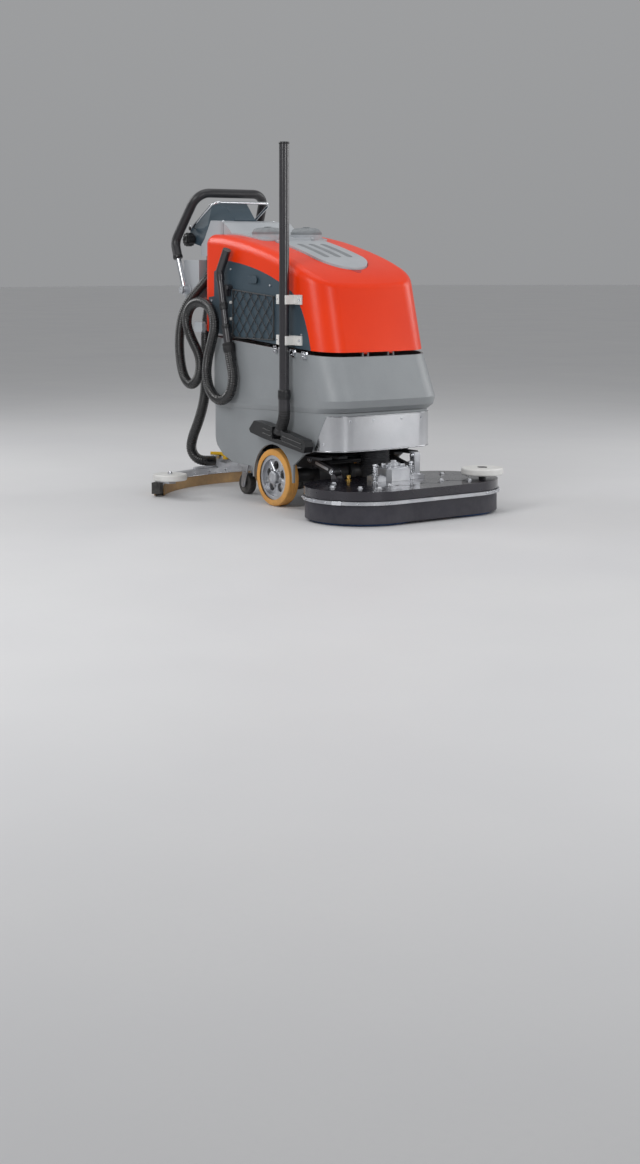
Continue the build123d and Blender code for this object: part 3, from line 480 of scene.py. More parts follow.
SQUEEGEE_HOSE = [(-0.424, -0.131, 0.838), (-0.424, -0.131, 0.786), (-0.444, -0.156, 0.706),
                 (-0.462, -0.166, 0.610), (-0.470, -0.164, 0.510), (-0.474, -0.160, 0.420),
                 (-0.488, -0.156, 0.330), (-0.532, -0.154, 0.245), (-0.578, -0.152, 0.184),
                 (-0.600, -0.148, 0.134), (-0.594, -0.128, 0.098), (-0.575, -0.098, 0.088),
                 (-0.575, -0.062, 0.088)]


def route_line(points):
    """The points that a smooth NURBS line through the route gives."""
    data = bpy.data.curves.new("route", "CURVE")
    data.dimensions = "3D"
    data.resolution_u = 24
    spline = data.splines.new("NURBS")
    spline.points.add(len(points) - 1)
    for p, co in zip(spline.points, points):
        p.co = (*co, 1)
    spline.order_u = 3
    spline.use_endpoint_u = True
    obj = bpy.data.objects.new("route", data)
    bpy.context.scene.collection.objects.link(obj)
    mesh = bpy.data.meshes.new_from_object(obj)
    line = [v.co.copy() for v in mesh.vertices]
    bpy.data.objects.remove(obj)
    bpy.data.curves.remove(data)
    bpy.data.meshes.remove(mesh)
    return line


def even(line, step):
    """The same line with its points a step apart."""
    out = [line[0].copy()]
    left = step
    for a, b in zip(line, line[1:]):
        run = (b - a).length
        at = left
        while at <= run:
            out.append(a.lerp(b, at / run))
            at += step
        left = at - run
    if (out[-1] - line[-1]).length > step * 0.3:
        out.append(line[-1].copy())
    return out


def corrugated(name, route, radius, pitch, depth, cuff):
    """Ribbed hose with a smooth cuff at each end."""
    line = route_line(route)
    total = sum((b - a).length for a, b in zip(line, line[1:]))
    pts = even(line, pitch / 6)

    def size(s):
        if s < cuff or s > total - cuff:
            return radius
        k = 0.5 + 0.5 * math.cos(2 * math.pi * s / pitch)
        return radius - depth * (1 - k ** 0.6)

    bm = bmesh.new()
    sweep(bm, pts, size, 28)
    return add_object(name, bm, "hose_black", degrees=60), line, total


accessory_hose, line, total = corrugated("accessory_hose_ribbed", ACCESSORY_HOSE, 0.018, 0.0075, 0.0016, 0.03)
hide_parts("accessory_hose")
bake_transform(accessory_hose)

squeegee_hose, line, total = corrugated("squeegee_hose_ribbed", SQUEEGEE_HOSE, 0.019, 0.008, 0.0017, 0.034)
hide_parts("squeegee_hose")
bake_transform(squeegee_hose)


def collars():
    """Ribbed cuffs where the hoses leave their sockets and meet the hand tool."""
    bm = bmesh.new()
    for x, r in ((-472, 18), (-424, 19)):
        profile = [(r + 1.2, 0), (r + 3.5, 1.5), (r + 3.5, 8, 1), (r + 2.4, 10, 1), (r + 3.5, 12, 1),
                   (r + 3.5, 22, 1), (r + 4.5, 24), (r + 4.5, 31)]
        lathe(bm, (x, -131, 806), UP, profile, 64, 24, 0.5)
    add_object("hose_cuffs", bm, "black_rubber", "chassis")
    bm = bmesh.new()
    lathe(bm, (-184, -254.5, 549), (12, 0, -53), [(18.6, 0), (21.5, 2), (21.5, 9, 1), (20.4, 12, 1),
                                                (21.5, 15, 1), (20.6, 26, 1), (19.4, 34)], 64, 24, 0.5)
    add_object("tool_cuff", bm, "black_rubber", "hood")


collars()


# ---- lid, hood and panels -----------------------------------------------------------------
def slot_outline(cx, cy, length, width):
    """Outline of a slot with round ends, along X."""
    steps = 14
    r = width / 2
    out = []
    for sign in (1, -1):
        for i in range(steps + 1):
            a = math.radians(-90 + 180 * i / steps + (0 if sign > 0 else 180))
            out.append((cx + sign * (length / 2 - r) + r * math.cos(a), cy + r * math.sin(a)))
    return out


def lid_details():
    """Three grey inlays in the lid's hollows."""
    tree = tree_of("tank_lid")
    bm = bmesh.new()
    for y in (-50, 0, 50):
        plate_on(bm, tree, slot_outline(38, y, 171, 23), 0.1, 3.3, 6.0)
    add_object("lid_inlays", bm, "stripe_grey", "lid")


def recess_shade_sheet():
    """Flat dark-red sheet in front of the lid's round end: painted shade standing in for the shaded inside of
    the finger recess.
    """
    tree = tree_of("recovery_tank")
    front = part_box("tank_lid")[1].x / MM
    outline = []
    for i in range(15):
        a = math.radians(-62 + 124 * i / 14)
        outline.append((front - 103 + 109 * math.cos(a) + 16 * math.cos(a * 1.45) ** 2,
                        109 * math.sin(a) * 0.42))
    for i in range(15):
        a = math.radians(62 - 124 * i / 14)
        outline.append((front - 103 + 106.5 * math.cos(a * 0.42), 106.5 * math.sin(a) * 0.42))
    bm = bmesh.new()
    plate_on(bm, tree, outline, 0.1, 0.5, 4.0)
    # The red of this flat sheet is painted shade for the inside of the finger recess, not a colour of the
    # hood.
    add_object("finger_recess_painted_shade", bm, "red", "hood")


lid_details()
recess_shade_sheet()


CAP_X, CAP_Y = -186, 84
DOME_BASE = 937.2


def ribbed_dome(side, y):
    """Screw cap with a low dome and radial ribs."""
    bm = bmesh.new()
    lathe(bm, (CAP_X, y, 0), UP, [(37.6, 892), (37.6, 927.6), (55.4, 928.2), (56, 929.6), (56, 935, 1),
                                          (54.8, DOME_BASE, 1), (52.8, 937.6)], 144, 36, 0.35)
    rings = []
    steps = 192
    for k in range(15):
        q = k / 14
        radius = 53.4 * math.sin(q * math.pi / 2)
        ring = []
        for i in range(steps):
            a = 2 * math.pi * i / steps
            rib = max(0.0, math.cos(12 * a)) ** 3 * math.sin(min(1.0, q * 1.5) * math.pi / 2) * (1 - q ** 6)
            z = DOME_BASE + 15.2 * math.cos(q * math.pi / 2) ** 0.8 + 2.6 * rib
            place = Vector((CAP_X + radius * math.cos(a), y + radius * math.sin(a), z))
            ring.append(bm.verts.new(place * MM))
            if k == 0:
                break
        rings.append(ring)
    for i in range(steps):
        bm.faces.new((rings[0][0], rings[1][i], rings[1][(i + 1) % steps]))
    bridge(bm, rings[1:], close=False)
    cap = add_object(f"ribbed_cap_{side}", bm, "stripe_grey", f"cap_{side}", degrees=50)
    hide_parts(f"filter_cap_{side}")


def cap_details():
    """Raised rim and centre button on each ribbed cap."""
    for side, y in (("left", CAP_Y), ("right", -CAP_Y)):
        ribbed_dome(side, y)
        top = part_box(f"filter_cap_{side}")[1].z / MM
        bm = bmesh.new()
        lathe(bm, (CAP_X, y, top - 2.5), UP, [(13, 0), (13, 2.4), (11.5, 3.2), (4, 3.4), (3, 2.6)], 40)
        lathe(bm, (CAP_X, y, 936.4), UP, [(55.4, -3), (56.6, -2), (56.6, 0.2), (55.2, 1.4), (53.5, 1.0)],
              72, close=False)
        add_object(f"cap_trim_{side}", bm, "stripe_grey", f"cap_{side}")


cap_details()


PANEL_FACE = 231.5


def panel_details():
    """Screws and a shallow grip bar on both side panels."""
    for side, s in (("right", -1), ("left", 1)):
        places = [(x, s * PANEL_FACE, z)
                  for x, z in ((-322, 580), (-322, 694), (-200, 806), (40, 752), (222, 590))]
        bolts(f"panel_screws_{side}", "hood", "silver", places, (0, s, 0), 3.6, False)
        bm = bmesh.new()
        prism(bm, rounded(120, 26, 12), (-90, s * 231.4, 770), (1, -0.12, 0), UP, (0, s, 0), 1.0, 0.5)
        add_object(f"panel_grip_{side}", bm, "petrol", "hood")


panel_details()


def net_pocket():
    """Elastic net of crossing cords in a bound edge, held at its corners."""
    left, right = -184.5, 64.5
    bottom = 567.5
    tops = (734.5, 714.5)
    inset = 3

    def top(x):
        k = (x - left) / (right - left)
        return tops[0] + (tops[1] - tops[0]) * k

    def inside(x, z):
        return left <= x <= right and bottom <= z <= top(x)

    bm = bmesh.new()
    pitch = 46.0
    for lean in (1, -1):
        for k in range(-12, 20):
            run = []
            base = left - 200 + k * pitch
            for i in range(0, 121):
                z = bottom + (top(left) - bottom) * i / 120
                x = base + lean * (z - bottom) * 0.86 + (0 if lean > 0 else 160)
                if inside(x, z):
                    bow = 1.1 * math.sin(i * 0.55) * lean
                    run.append(Vector((x, -235.2 + lean * 0.9 + 0.5 * math.sin(i * 0.4), z + bow * 0.5)) * MM)
            if len(run) > 4:
                sweep(bm, run, 0.0013, 8)
    net = add_object("net_cords", bm, "net", "hood", degrees=60)
    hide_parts("net_pocket")
    bm = bmesh.new()
    border = [(left, bottom), (right, bottom), (right, top(right)), (left, top(left))]
    ring = []
    for (x0, z0), (x1, z1) in zip(border, border[1:] + border[:1]):
        for i in range(12):
            k = i / 12
            ring.append(Vector((x0 + (x1 - x0) * k, -235.0, z0 + (z1 - z0) * k)) * MM)
    sweep(bm, ring, lambda s: 0.0021 + 0.00025 * math.sin(s * 900), 8, closed=True)
    add_object("net_edge", bm, "net", "hood", degrees=60)
    corners = ((left + inset, bottom + inset), (right - inset, bottom + inset),
               (right - inset, top(right) - inset), (left + inset, top(left) - inset))
    places = [(x, -PANEL_FACE, z) for x, z in corners]
    bolts("net_corner_studs", "hood", "black_plastic", places, (0, -1, 0), 4.4)


net_pocket()


# ---- tank, apron and column ---------------------------------------------------------------
WHEEL_X, WHEEL_Y, WHEEL_Z = 50, 209.0, 97.5


def drive_wheel(side, s):
    """Tyre with shallow tread grooves, and hub cap with five nuts."""
    body = f"wheel_{side}"
    bm = bmesh.new()
    profile = [(76.1, -21), (80, -22), (90, -22), (95.5, -20), (97.3, -16.5)]
    for y in (-12, -4, 4, 12):
        profile += [(97.4, y - 1.6), (96.1, y - 0.9), (96.1, y + 0.9), (97.4, y + 1.6)]
    profile += [(97.3, 16.5), (95.5, 20), (90, 22), (80, 22), (76.1, 21)]
    lathe(bm, (WHEEL_X, s * WHEEL_Y, WHEEL_Z), LEFT, profile, 128, close=False)
    tyre = add_object(f"tyre_{side}", bm, "ochre_tyre", body, degrees=28)
    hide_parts(f"drive_tyre_{side}")
    bm = bmesh.new()
    cap = [(21, 0), (21, 3), (18, 5), (9, 6.5), (8, 5.6), (3, 5.6)]
    lathe(bm, (WHEEL_X, s * 229, WHEEL_Z), (0, s, 0), cap, 48)
    for i in range(5):
        a = math.radians(72 * i + 54)
        bolt(bm, (WHEEL_X + 30 * math.cos(a), s * (WHEEL_Y + 12), WHEEL_Z + 30 * math.sin(a)), (0, s, 0), 3.4)
    add_object(f"hub_cap_{side}", bm, "silver", body)


for side_name, side_sign in (("right", -1), ("left", 1)):
    drive_wheel(side_name, side_sign)


def seam_latches():
    """Bright draw latches and keepers in the gap between tank and hood, clear of the wand as it tilts."""
    bm = bmesh.new()
    for x in (80, 178, 244):
        z = 544.2 - 0.0731 * x
        prism(bm, rounded(20, 15, 3), (x, -240, z - 5), (1, 0, -0.07), UP, (0, -1, 0), 2.6, 0.8)
        sweep(bm, [Vector(q) * MM for q in ((x - 7, -241.5, z - 2), (x - 7, -241.5, z + 9),
                                            (x + 7, -241.5, z + 9), (x + 7, -241.5, z - 2))], 0.0014, 8)
        bolt(bm, (x, -242.4, z - 8), (0, -1, 0), 2.2, False)
    add_object("latch_plates", bm, "chrome", ROOT)


def apron_details():
    """Folded edge along the apron's top and its screws."""
    tree = tree_of("steel_apron")
    bm = bmesh.new()
    for y in (-150, -60, 60, 150):
        hit = tree.ray_cast(Vector((700, y, 308)) * MM, Vector((-1, 0, 0)))
        if hit[0]:
            bolt(bm, hit[0] / MM, hit[1] if hit[1].x > 0 else -hit[1], 3.0)
    for s in (1, -1):
        hit = tree.ray_cast(Vector((330, s * 400, 232)) * MM, Vector((0, -s, 0)))
        if hit[0]:
            bolt(bm, hit[0] / MM, hit[1] if hit[1].y * s > 0 else -hit[1], 3.0)
    add_object("apron_screws", bm, "chrome", ROOT)
    for z, name in ((324, "apron_top_edge"), (210, "apron_bottom_edge")):
        run = []
        for i in range(-44, 45):
            a = math.radians(i * 2.9)
            aim = Vector((math.cos(a), math.sin(a), 0))
            start = Vector((230, 0, z - (3 if z > 300 else -3))) * MM + aim * 0.6
            hit = tree.ray_cast(start, -aim)
            if hit[0]:
                run.append(Vector((hit[0].x, hit[0].y, z * MM)))
        bm = bmesh.new()
        if len(run) > 4:
            sweep(bm, run, 0.0016, 8)
            add_object(name, bm, "stainless", ROOT, degrees=60)
        else:
            bm.free()


seam_latches()
apron_details()


def rear_details():
    """Charger flap, louvres and drain cap on the back of the machine."""
    bm = bmesh.new()
    place, out = stick("rear_column", (-1200, 60, 640), FORWARD)
    side = Vector((0, 1, 0))
    prism(bm, rounded(78, 56, 9), place - out * 0.5, side, out.cross(side), out, 4.0, 1.2)
    prism(bm, rounded(24, 8, 3.5), place + out * 3.2, side, out.cross(side), out, 3.0, 0.8)
    add_object("charger_flap", bm, "black_plastic", ROOT)
    bm = bmesh.new()
    for i in range(6):
        place, out = stick("rear_column", (-1200, 0, 360 + 22 * i), FORWARD)
        prism(bm, rounded(110, 7, 3.4), place - out * 0.5, side, out.cross(side), out, 2.6, 1.0)
    add_object("column_louvres", bm, "stripe_grey", ROOT)
    bm = bmesh.new()
    profile = [(17, 0), (23.5, 0.5), (23.5, 9, 1), (22, 11, 1), (14, 12), (12, 10.5), (4, 10.5)]
    lathe(bm, (-339, 140, 262), (-1, 0, 0), profile, 64, 16, 0.7)
    add_object("drain_cap", bm, "black_plastic", ROOT)
    bm = bmesh.new()
    for y in (-112, 112):
        place, out = stick("rear_cowl", (-430, y, 1300), (0, 0, -1))
        bolt(bm, place, out, 3.4, False)
    add_object("cowl_screws", bm, "chrome", ROOT)


rear_details()


# ---- console and handle -------------------------------------------------------------------
FACE_UP = Vector((93, 0, 94)).normalized()
FACE_OUT = Vector((-94, 0, 93)).normalized()
FACE_SIDE = Vector((0, 1, 0))


def console_at(u, v, w=0.0):
    """The point u across, v up and w out from the middle of the console's face, in mm."""
    return Vector((-603.5, 0, 1003)) + FACE_SIDE * u + FACE_UP * v + FACE_OUT * w


def on_face(bm, outline, place, depth, edge):
    """A prism standing on the console's face."""
    prism(bm, outline, console_at(*place), FACE_SIDE, FACE_UP, FACE_OUT, depth, edge)


def circle_point(radius, degrees):
    a = math.radians(degrees)
    return radius * math.cos(a), radius * math.sin(a)


def turned(outline, degrees):
    """The outline turned about its origin."""
    c, s = circle_point(1, degrees)
    return [(x * c - y * s, x * s + y * c) for x, y in outline]


def console_details():
    """Lights, scale, screws, plain signs on the buttons, and the faces of the stop, knob and key."""
    bm = bmesh.new()
    for i in range(5):
        on_face(bm, rounded(8, 5, 1.5), (-26 + 13 * i, 39, 3.0), 0.7, 0.2)
    add_object("charge_lights", bm, "led_green", ROOT)
    bm = bmesh.new()
    for i in range(5):
        on_face(bm, rounded(8, 1.2, 0.5), (-26 + 13 * i, 33.5, 3.0), 0.3, 0.1)
    on_face(bm, rounded(62, 1.4, 0.6), (0, 24, 3.0), 0.3, 0.1)
    dial_v, dial_ring = -36, 23
    for i in range(11):
        angle = 220 - 26 * i
        tick = turned(rounded(4.5 if i % 5 else 7, 1.3, 0.5), angle)
        u, v = circle_point(dial_ring, angle)
        on_face(bm, tick, (u, dial_v + v, 0.0), 0.5, 0.1)
    add_object("dial_scale", bm, "pale_print", ROOT)
    bm = bmesh.new()
    for sy in (1, -1):
        for v in (-55, 55):
            u = sy * (104 - 0.15 * abs(v + 55))
            bolt(bm, console_at(u * (0.94 if v > 0 else 0.99), v, 0.0), FACE_OUT, 2.6, False)
    add_object("console_screws", bm, "chrome", ROOT)
    drop = [(2.6 * math.sin(math.radians(t)), -1.2 - 2.6 * math.cos(math.radians(t)))
            for t in range(-120, 121, 24)] + [(0, 4.6)]
    disc = [circle_point(3.4, t) for t in range(0, 360, 20)]
    blades = [circle_point(4.0 if (t // 30) % 4 < 2 else 1.8, t) for t in range(0, 360, 10)]
    for i, shape in enumerate((blades, drop, disc)):
        bm = bmesh.new()
        on_face(bm, shape, (-34 + 34 * i, -4, 9.1), 0.5, 0.15)
        add_object(f"button_sign_{i + 1}", bm, "pale_print", f"button_{i + 1}")
    bm = bmesh.new()
    lathe(bm, console_at(66, -30, 21.6), FACE_OUT, [(15, 0), (12, 1.6), (7, 2.3), (2, 2.5)], 40)
    add_object("stop_crown", bm, "red", "stop")
    bm = bmesh.new()
    lathe(bm, (-629, -146, 914), (0, -1, 0), [(18, 0), (18, 1), (16, 2.4), (9, 3), (7.5, 2.2), (2, 2.2)], 40)
    add_object("side_knob_cap", bm, "black_plastic", "side_knob")
    bm = bmesh.new()
    on_face(bm, rounded(5, 22, 2.2), (-66, -30, 24), 9, 1.0)
    add_object("key_bow", bm, "black_plastic", "key")


console_details()


def handle_details():
    """Collars and pivot bolts of the handle, and caps on the bail's ends."""
    bm = bmesh.new()
    collar = [(10.4, -9), (15.5, -8), (18, -5), (18.4, 2), (17.4, 6)]
    for s in (1, -1):
        lathe(bm, (-617, s * 190, 850), (-48, 0, 122), collar, 48)
    add_object("grip_collars", bm, "black_plastic", "handle")
    bm = bmesh.new()
    for s in (1, -1):
        bolt(bm, (-569, s * 202, 728), (0, s, 0), 6.5)
        lathe(bm, (-569, s * 178, 728), (0, -s, 0), [(13, 0), (13, 1.6), (9, 2)], 40)
    add_object("handle_bolts", bm, "chrome", "handle")
    bm = bmesh.new()
    for s in (1, -1):
        lathe(bm, (-625, s * 131, 956), (0, s, 0), [(8.2, 0), (8.2, 1.6), (5, 3), (2, 3.2)], 32)
    add_object("bail_caps", bm, "black_plastic", "bail")


handle_details()


# ---- deck ---------------------------------------------------------------------------------
DECK_X, BRUSH_Y, DECK_TOP, BAND_Z = 467.5, 170, 110, 74
MOTOR_X, CASE_X = 322, 417


def deck_bolts():
    """Bolts and water inlets on the deck's plate, and rivets and a buckle on the band round it."""
    bm = bmesh.new()
    for s in (1, -1):
        for dx, dy in ((70, 60), (-70, 60), (70, -60), (0, 118), (118, 20)):
            x, y = DECK_X + dx, s * (BRUSH_Y + dy)
            under_roller = y >= 200 and x >= 480
            if not under_roller:
                bolt(bm, (x, y, DECK_TOP), UP, 6.4)
    studs = add_object("deck_bolts", bm, "silver", "deck")
    bm = bmesh.new()
    for x, y in ((345, -130), (352, 130)):
        lathe(bm, (x, y, DECK_TOP), UP, [(11, 0), (11, 3), (8, 4), (6, 5), (6, 9), (7.5, 10), (6, 13),
                                         (7.5, 14), (6, 17), (5, 18)], 32)
    add_object("water_inlets", bm, "brass", "deck")
    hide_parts("deck_studs")
    bm = bmesh.new()
    for s in (1, -1):
        for i in range(11):
            a = math.radians(-80 + 16 * i)
            d = Vector((math.sin(a), s * math.cos(a), 0))
            bolt(bm, Vector((DECK_X, s * BRUSH_Y, BAND_Z)) + d * 192.3, d, 2.6, False)
    for y in (-120, -40, 40, 120):
        bolt(bm, (275, y, BAND_Z), (-1, 0, 0), 2.6, False)
    add_object("band_rivets", bm, "chrome", "deck")
    bm = bmesh.new()
    a = math.radians(28)
    d = Vector((math.sin(a), -math.cos(a), 0))
    c = Vector((DECK_X, -BRUSH_Y, BAND_Z)) + d * 192
    prism(bm, rounded(34, 13, 3), c, Vector(UP).cross(d), UP, d, 3.6, 1.0)
    add_object("band_buckle", bm, "chrome", "deck")


deck_bolts()


def deck_drive():
    """Castings, cooling fins, springs and caps of the brush drive."""
    bm = bmesh.new()
    prism(bm, rounded(80, 88, 13), (CASE_X, -2, 149.6), FORWARD, LEFT, UP, 4.6, 1.4)
    for i in range(10):
        a = 36 * i
        v = Vector((math.cos(math.radians(a)), math.sin(math.radians(a)), 0))
        prism(bm, rounded(16, 3.4, 1.4), Vector((419, 0, 154)) + v * 33, v, Vector(UP).cross(v), UP, 8.6, 0.8)
    for dx in (-33, 33):
        for dy in (-36, 0, 36):
            bolt(bm, (CASE_X + dx, -2 + dy, 154.0), UP, 3.4)
    lathe(bm, (419, 0, 166), UP, [(16, 0), (16, 3), (11, 5), (10, 9), (4, 10)], 6)
    for s in (-68, 64):
        prism(bm, rounded(52, 28, 6), (418, s, 125.6), FORWARD, LEFT, UP, 4.0, 1.2)
        for dx in (-18, 18):
            bolt(bm, (418 + dx, s, 129.4), UP, 3.2)
    add_object("gear_case_cover", bm, "silver", "deck")
    bm = bmesh.new()
    profile = [(46.1, 132)]
    for i in range(11):
        z = 134 + 8.4 * i
        profile += [(46.2, z), (49.0, z + 0.8), (49.0, z + 3.2), (46.2, z + 4.0)]
    profile.append((46.1, 228))
    lathe(bm, (MOTOR_X, 0, 0), UP, profile, 64, close=False)
    add_object("motor_fins", bm, "frame_black", "deck")
    bm = bmesh.new()
    for i in range(4):
        a = math.radians(45 + 90 * i)
        bolt(bm, (MOTOR_X + 27 * math.cos(a), 27 * math.sin(a), 250), UP, 3.0)
    lathe(bm, (MOTOR_X, 0, 250), UP, [(14, 0), (14, 3), (11, 5), (5, 5.4)], 40)
    add_object("motor_cap", bm, "silver", "deck")
    bm = bmesh.new()
    for y in (-92, 60):
        lathe(bm, (438, y, DECK_TOP), UP, [(14, 0), (14, 3), (5, 4), (5, 52), (8.5, 53), (8.5, 58), (6, 60),
                                           (3, 60)], 36)
        turns, steps = 7, 20
        coil = []
        for i in range(turns * steps + 1):
            a = 2 * math.pi * i / steps
            z = 116 + 44 * i / (turns * steps)
            coil.append(Vector((438 + 9 * math.cos(a), y + 9 * math.sin(a), z)) * MM)
        sweep(bm, coil, 0.0016, 8)
    add_object("deck_springs", bm, "chrome", "deck")
    bm = bmesh.new()
    bolt(bm, (416, 84, 184), (0, -1, 0), 6.5)
    bolt(bm, (416, 108, 184), (0, 1, 0), 6.5)
    for s in (1, -1):
        for x in (398, 434):
            bolt(bm, (x, 101 if s > 0 else 92, 122), UP, 3.4)
    for s in (1, -1):
        for y, out in ((166, 1), (134, -1)):
            bolt(bm, (300, s * y, 135), (0, s * out, 0), 6.0)
    add_object("link_bolts", bm, "chrome", "deck")
    bm = bmesh.new()
    for s in (1, -1):
        bolt(bm, (170, s * 160, 165), (0, s, 0), 6.5)
        prism(bm, rounded(74, 9, 4), (238, s * 160.1, 149.5), (126, 0, -30), (30, 0, 126), (0, s, 0),
              1.4, 0.5)
    add_object("arm_trim", bm, "silver", "lift_arms")
    bm = bmesh.new()
    lathe(bm, (562, 267, 145.6), UP, [(16, 0), (16, 1.4), (12, 2.2), (6, 2.2)], 40)
    for dx in (-18, 18):
        lathe(bm, (562 + dx, 267, 145.7), UP, [(4, 0), (4, 0.9), (2.4, 1.2)], 24)
    add_object("deck_roller_cap", bm, "frame_black", "deck_roller_body")


deck_drive()


def brush_tufts(side, s):
    """Rings of bristle tufts under a brush's plate."""
    bm = bmesh.new()
    for ring, count in ((167, 72), (150, 60), (128, 52), (106, 44), (84, 34)):
        for i in range(count):
            a = 2 * math.pi * (i + 0.5 * (ring % 2)) / count
            c = Vector((DECK_X + ring * math.cos(a), s * BRUSH_Y + ring * math.sin(a), 0))
            lathe(bm, c, UP, [(2.6, 0.6), (3.0, 5), (2.6, 22), (2.2, 43)], 6)
    add_object(f"bristle_tufts_{side}", bm, "bristle", f"brush_{side}_body", degrees=60)


brush_tufts("right", -1)
brush_tufts("left", 1)


# ---- squeegee -----------------------------------------------------------------------------
ARC_X = -82  # the middle of the squeegee's arc


def squeegee_details():
    """Bolts, knobs, the straps that hold the blades, and the lever's cap."""
    bm = bmesh.new()
    for i in range(-5, 6):
        a = math.radians(8.6 * i)
        d = Vector((math.cos(a), -math.sin(a), 0))
        bolt(bm, Vector((ARC_X, 0, 48)) - d * 504.8, d, 3.2)
        bolt(bm, Vector((ARC_X, 0, 48)) - d * 531.2, -d, 3.2)
    for s in (1, -1):
        bolt(bm, (-345, s * 395, 86), UP, 6.5)
    bolt(bm, (-545, 0, 124), UP, 7.5)
    add_object("squeegee_bolts", bm, "chrome", "squeegee")
    bm = bmesh.new()
    for y in (-30, 34):
        lathe(bm, (-588, y, 104), UP, [(8, -4), (13, -2), (13.4, 0, 1), (13.4, 9, 1), (11.5, 11, 1), (8, 12),
                                       (3, 12)], 64, 8, 1.5)
    add_object("squeegee_knobs", bm, "black_plastic", "squeegee")
    bm = bmesh.new()
    for r in (504.0, 532.4):
        run = []
        for i in range(-50, 51, 2):
            a = math.radians(i)
            run.append(Vector((ARC_X - r * math.cos(a), r * math.sin(a), 38.5)) * MM)
        sweep(bm, run, 0.0018, 6)
    add_object("blade_straps", bm, "chrome", "squeegee", degrees=60)
    bm = bmesh.new()
    lathe(bm, (-530, -38, 106.5), UP, [(9.6, 0), (9.6, 1.6), (6, 3), (2, 3.2)], 32)
    add_object("lever_cap", bm, "yellow", "clamp")


squeegee_details()


# ---- wand, nozzle and hand tool -----------------------------------------------------------
def wand_details():
    """Collars and bent neck of the wand, swivel of its nozzle, and screws and pads of its clips."""
    x, y = 165, -262
    bm = bmesh.new()
    collar = [(17.2, 8), (20.4, 6), (21.2, 3), (21.2, -6, 1), (20.6, -8, 1), (21.2, -10, 1), (21.2, -22, 1),
              (20.2, -25)]
    lathe(bm, (x, y, 398), UP, collar, 72, 24, 0.4, close=False)
    lathe(bm, (x, y, 1226), UP, [(16.9, -4), (17.6, -2.5), (17.6, 2), (16.4, 3.9)], 64, close=False)
    add_object("wand_collars", bm, "black_plastic", "wand")
    bm = bmesh.new()
    bend = [Vector((px, y, z)) * MM
            for px, z in ((165, 340), (165, 326), (163, 312), (158, 298), (152, 285), (146.5, 272))]
    sweep(bm, even(bend, 0.0015), lambda s: 0.0196 + 0.0008 * math.cos(s * 900), 36)
    add_object("wand_neck", bm, "black_rubber", "wand", degrees=60)
    bm = bmesh.new()
    lathe(bm, (142, -260.5, 262), FORWARD, [(11, -23), (15, -22), (16, -19), (16, -9, 1), (17, -7), (17, 7),
                                             (16, 9, 1), (16, 19), (15, 22), (11, 23)], 64, 20, 0.5)
    add_object("nozzle_swivel", bm, "black_plastic", "wand")
    bm = bmesh.new()
    clip_heights, clip_face = (570, 706), -238
    for z in clip_heights:
        for px in (93, 218):
            bolt(bm, (px, clip_face, z), (0, -1, 0), 3.2)
    add_object("clip_screws", bm, "chrome", "hood")
    bm = bmesh.new()
    for z in clip_heights:
        for px, width in ((93, 13), (196, 26)):
            prism(bm, rounded(width, 24, 3), (px, clip_face, z), FORWARD, UP, (0, -1, 0), 1.6, 0.5)
    add_object("clip_pads", bm, "white_plastic", "hood")


wand_details()


def nozzle_details():
    """Two ribs along the nozzle's outer side, broken where the wand's neck comes in."""
    bm = bmesh.new()
    for offset in (-8, 8):
        for part in (range(62, 111, 6), range(176, 290, 6)):
            sweep(bm, [Vector((q, -278.0, 262 + offset - (q - 60) * 0.165)) * MM for q in part], 0.0024, 8)
    add_object("nozzle_ribs", bm, "black_plastic", "nozzle", degrees=60)


nozzle_details()


def tool_details():
    """Rings round the hand tool."""
    bm = bmesh.new()
    axis = Vector((36, 0, -166)).normalized()
    base = Vector((-232, -254.5, 766))
    lathe(bm, base + axis * 92, axis, [(12.6, -13), (14.8, -11), (14.8, -3, 1), (14.2, 0, 1), (14.8, 3, 1),
                                       (14.8, 11), (12.6, 13)], 64, 20, 0.4, close=False)
    lathe(bm, base + axis * 160, axis, [(12.6, -3), (16.4, -1), (16.8, 3), (16.8, 10), (15.2, 13)], 48,
          close=False)
    add_object("tool_rings", bm, "black_plastic", "hood")


tool_details()


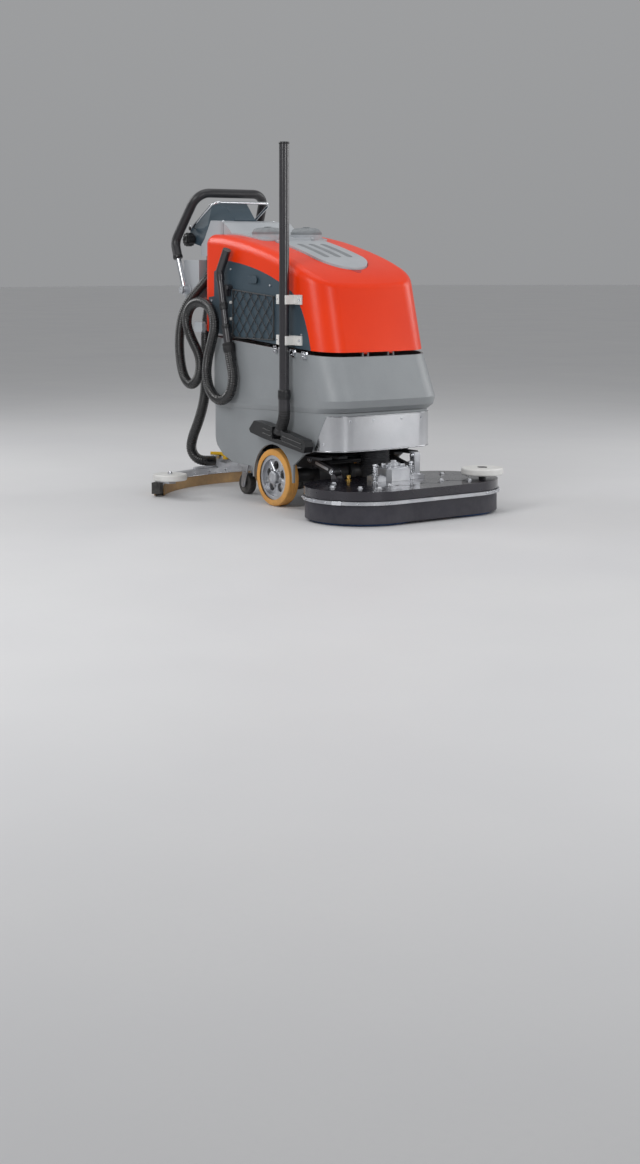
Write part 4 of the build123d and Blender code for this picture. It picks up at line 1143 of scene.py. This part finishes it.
# ---- stage and light ----------------------------------------------------------------------
def make_stage():
    """A plain pale floor, half a millimetre below the wheels."""
    mesh = bpy.data.meshes.new("floor")
    size = 45
    corners = [(-size, -size, 0), (size, -size, 0), (size, size, 0), (-size, size, 0)]
    mesh.from_pydata(corners, [], [(0, 1, 2, 3)])
    floor = bpy.data.objects.new("floor", mesh)
    bpy.context.scene.collection.objects.link(floor)
    floor.location.z = -0.0005
    floor.data.materials.append(material("floor", (214, 214, 215), (210, 210, 212), (0.5, 0.6), patch=1.0,
                                         grain=200, bump=0.02, edge=0.0))


def area_light(name, place, target, size, power):
    """A rectangular light in metres and watts, aimed at a target."""
    data = bpy.data.lights.new(name, "AREA")
    data.shape = "RECTANGLE"
    data.size, data.size_y = size
    data.energy = power
    obj = bpy.data.objects.new(name, data)
    obj.location = place
    direction = Vector(target) - Vector(place)
    obj.rotation_euler = direction.to_track_quat("-Z", "Y").to_euler()
    bpy.context.scene.collection.objects.link(obj)


def make_light():
    """A pale graded world and six soft area lights."""
    world = bpy.data.worlds.new("studio")
    bpy.context.scene.world = world
    world.use_nodes = True
    tree = world.node_tree
    back = tree.nodes["Background"]
    coords = tree.nodes.new("ShaderNodeTexCoord")
    split = tree.nodes.new("ShaderNodeSeparateXYZ")
    tree.links.new(coords.outputs["Generated"], split.inputs[0])
    sky = ramp(tree, split.outputs["Z"], -0.1, 0.5)
    tree.links.new(mix(tree, sky, (0.70, 0.71, 0.73, 1), (0.94, 0.95, 0.96, 1)), back.inputs["Color"])
    back.inputs["Strength"].default_value = 0.42
    area_light("key", (1.2, -3.6, 2.6), (0, 0, 0.5), (1.4, 2.4), 60)
    area_light("front", (4.4, -0.6, 1.9), (0.2, 0, 0.5), (0.8, 2.6), 34)
    area_light("front_card", (3.2, 2.6, 0.9), (0.3, 0, 0.3), (1.2, 1.4), 15)
    area_light("rear_rim", (-3.0, -1.6, 2.6), (-0.2, 0, 0.7), (1.4, 1.8), 40)
    area_light("left_fill", (1.0, 3.6, 2.0), (0, 0, 0.5), (1.6, 2.2), 34)
    area_light("top", (0, 0, 3.6), (0, 0, 0), (2.4, 2.4), 22)


make_stage()
make_light()
bpy.context.scene.view_settings.view_transform = "Standard"
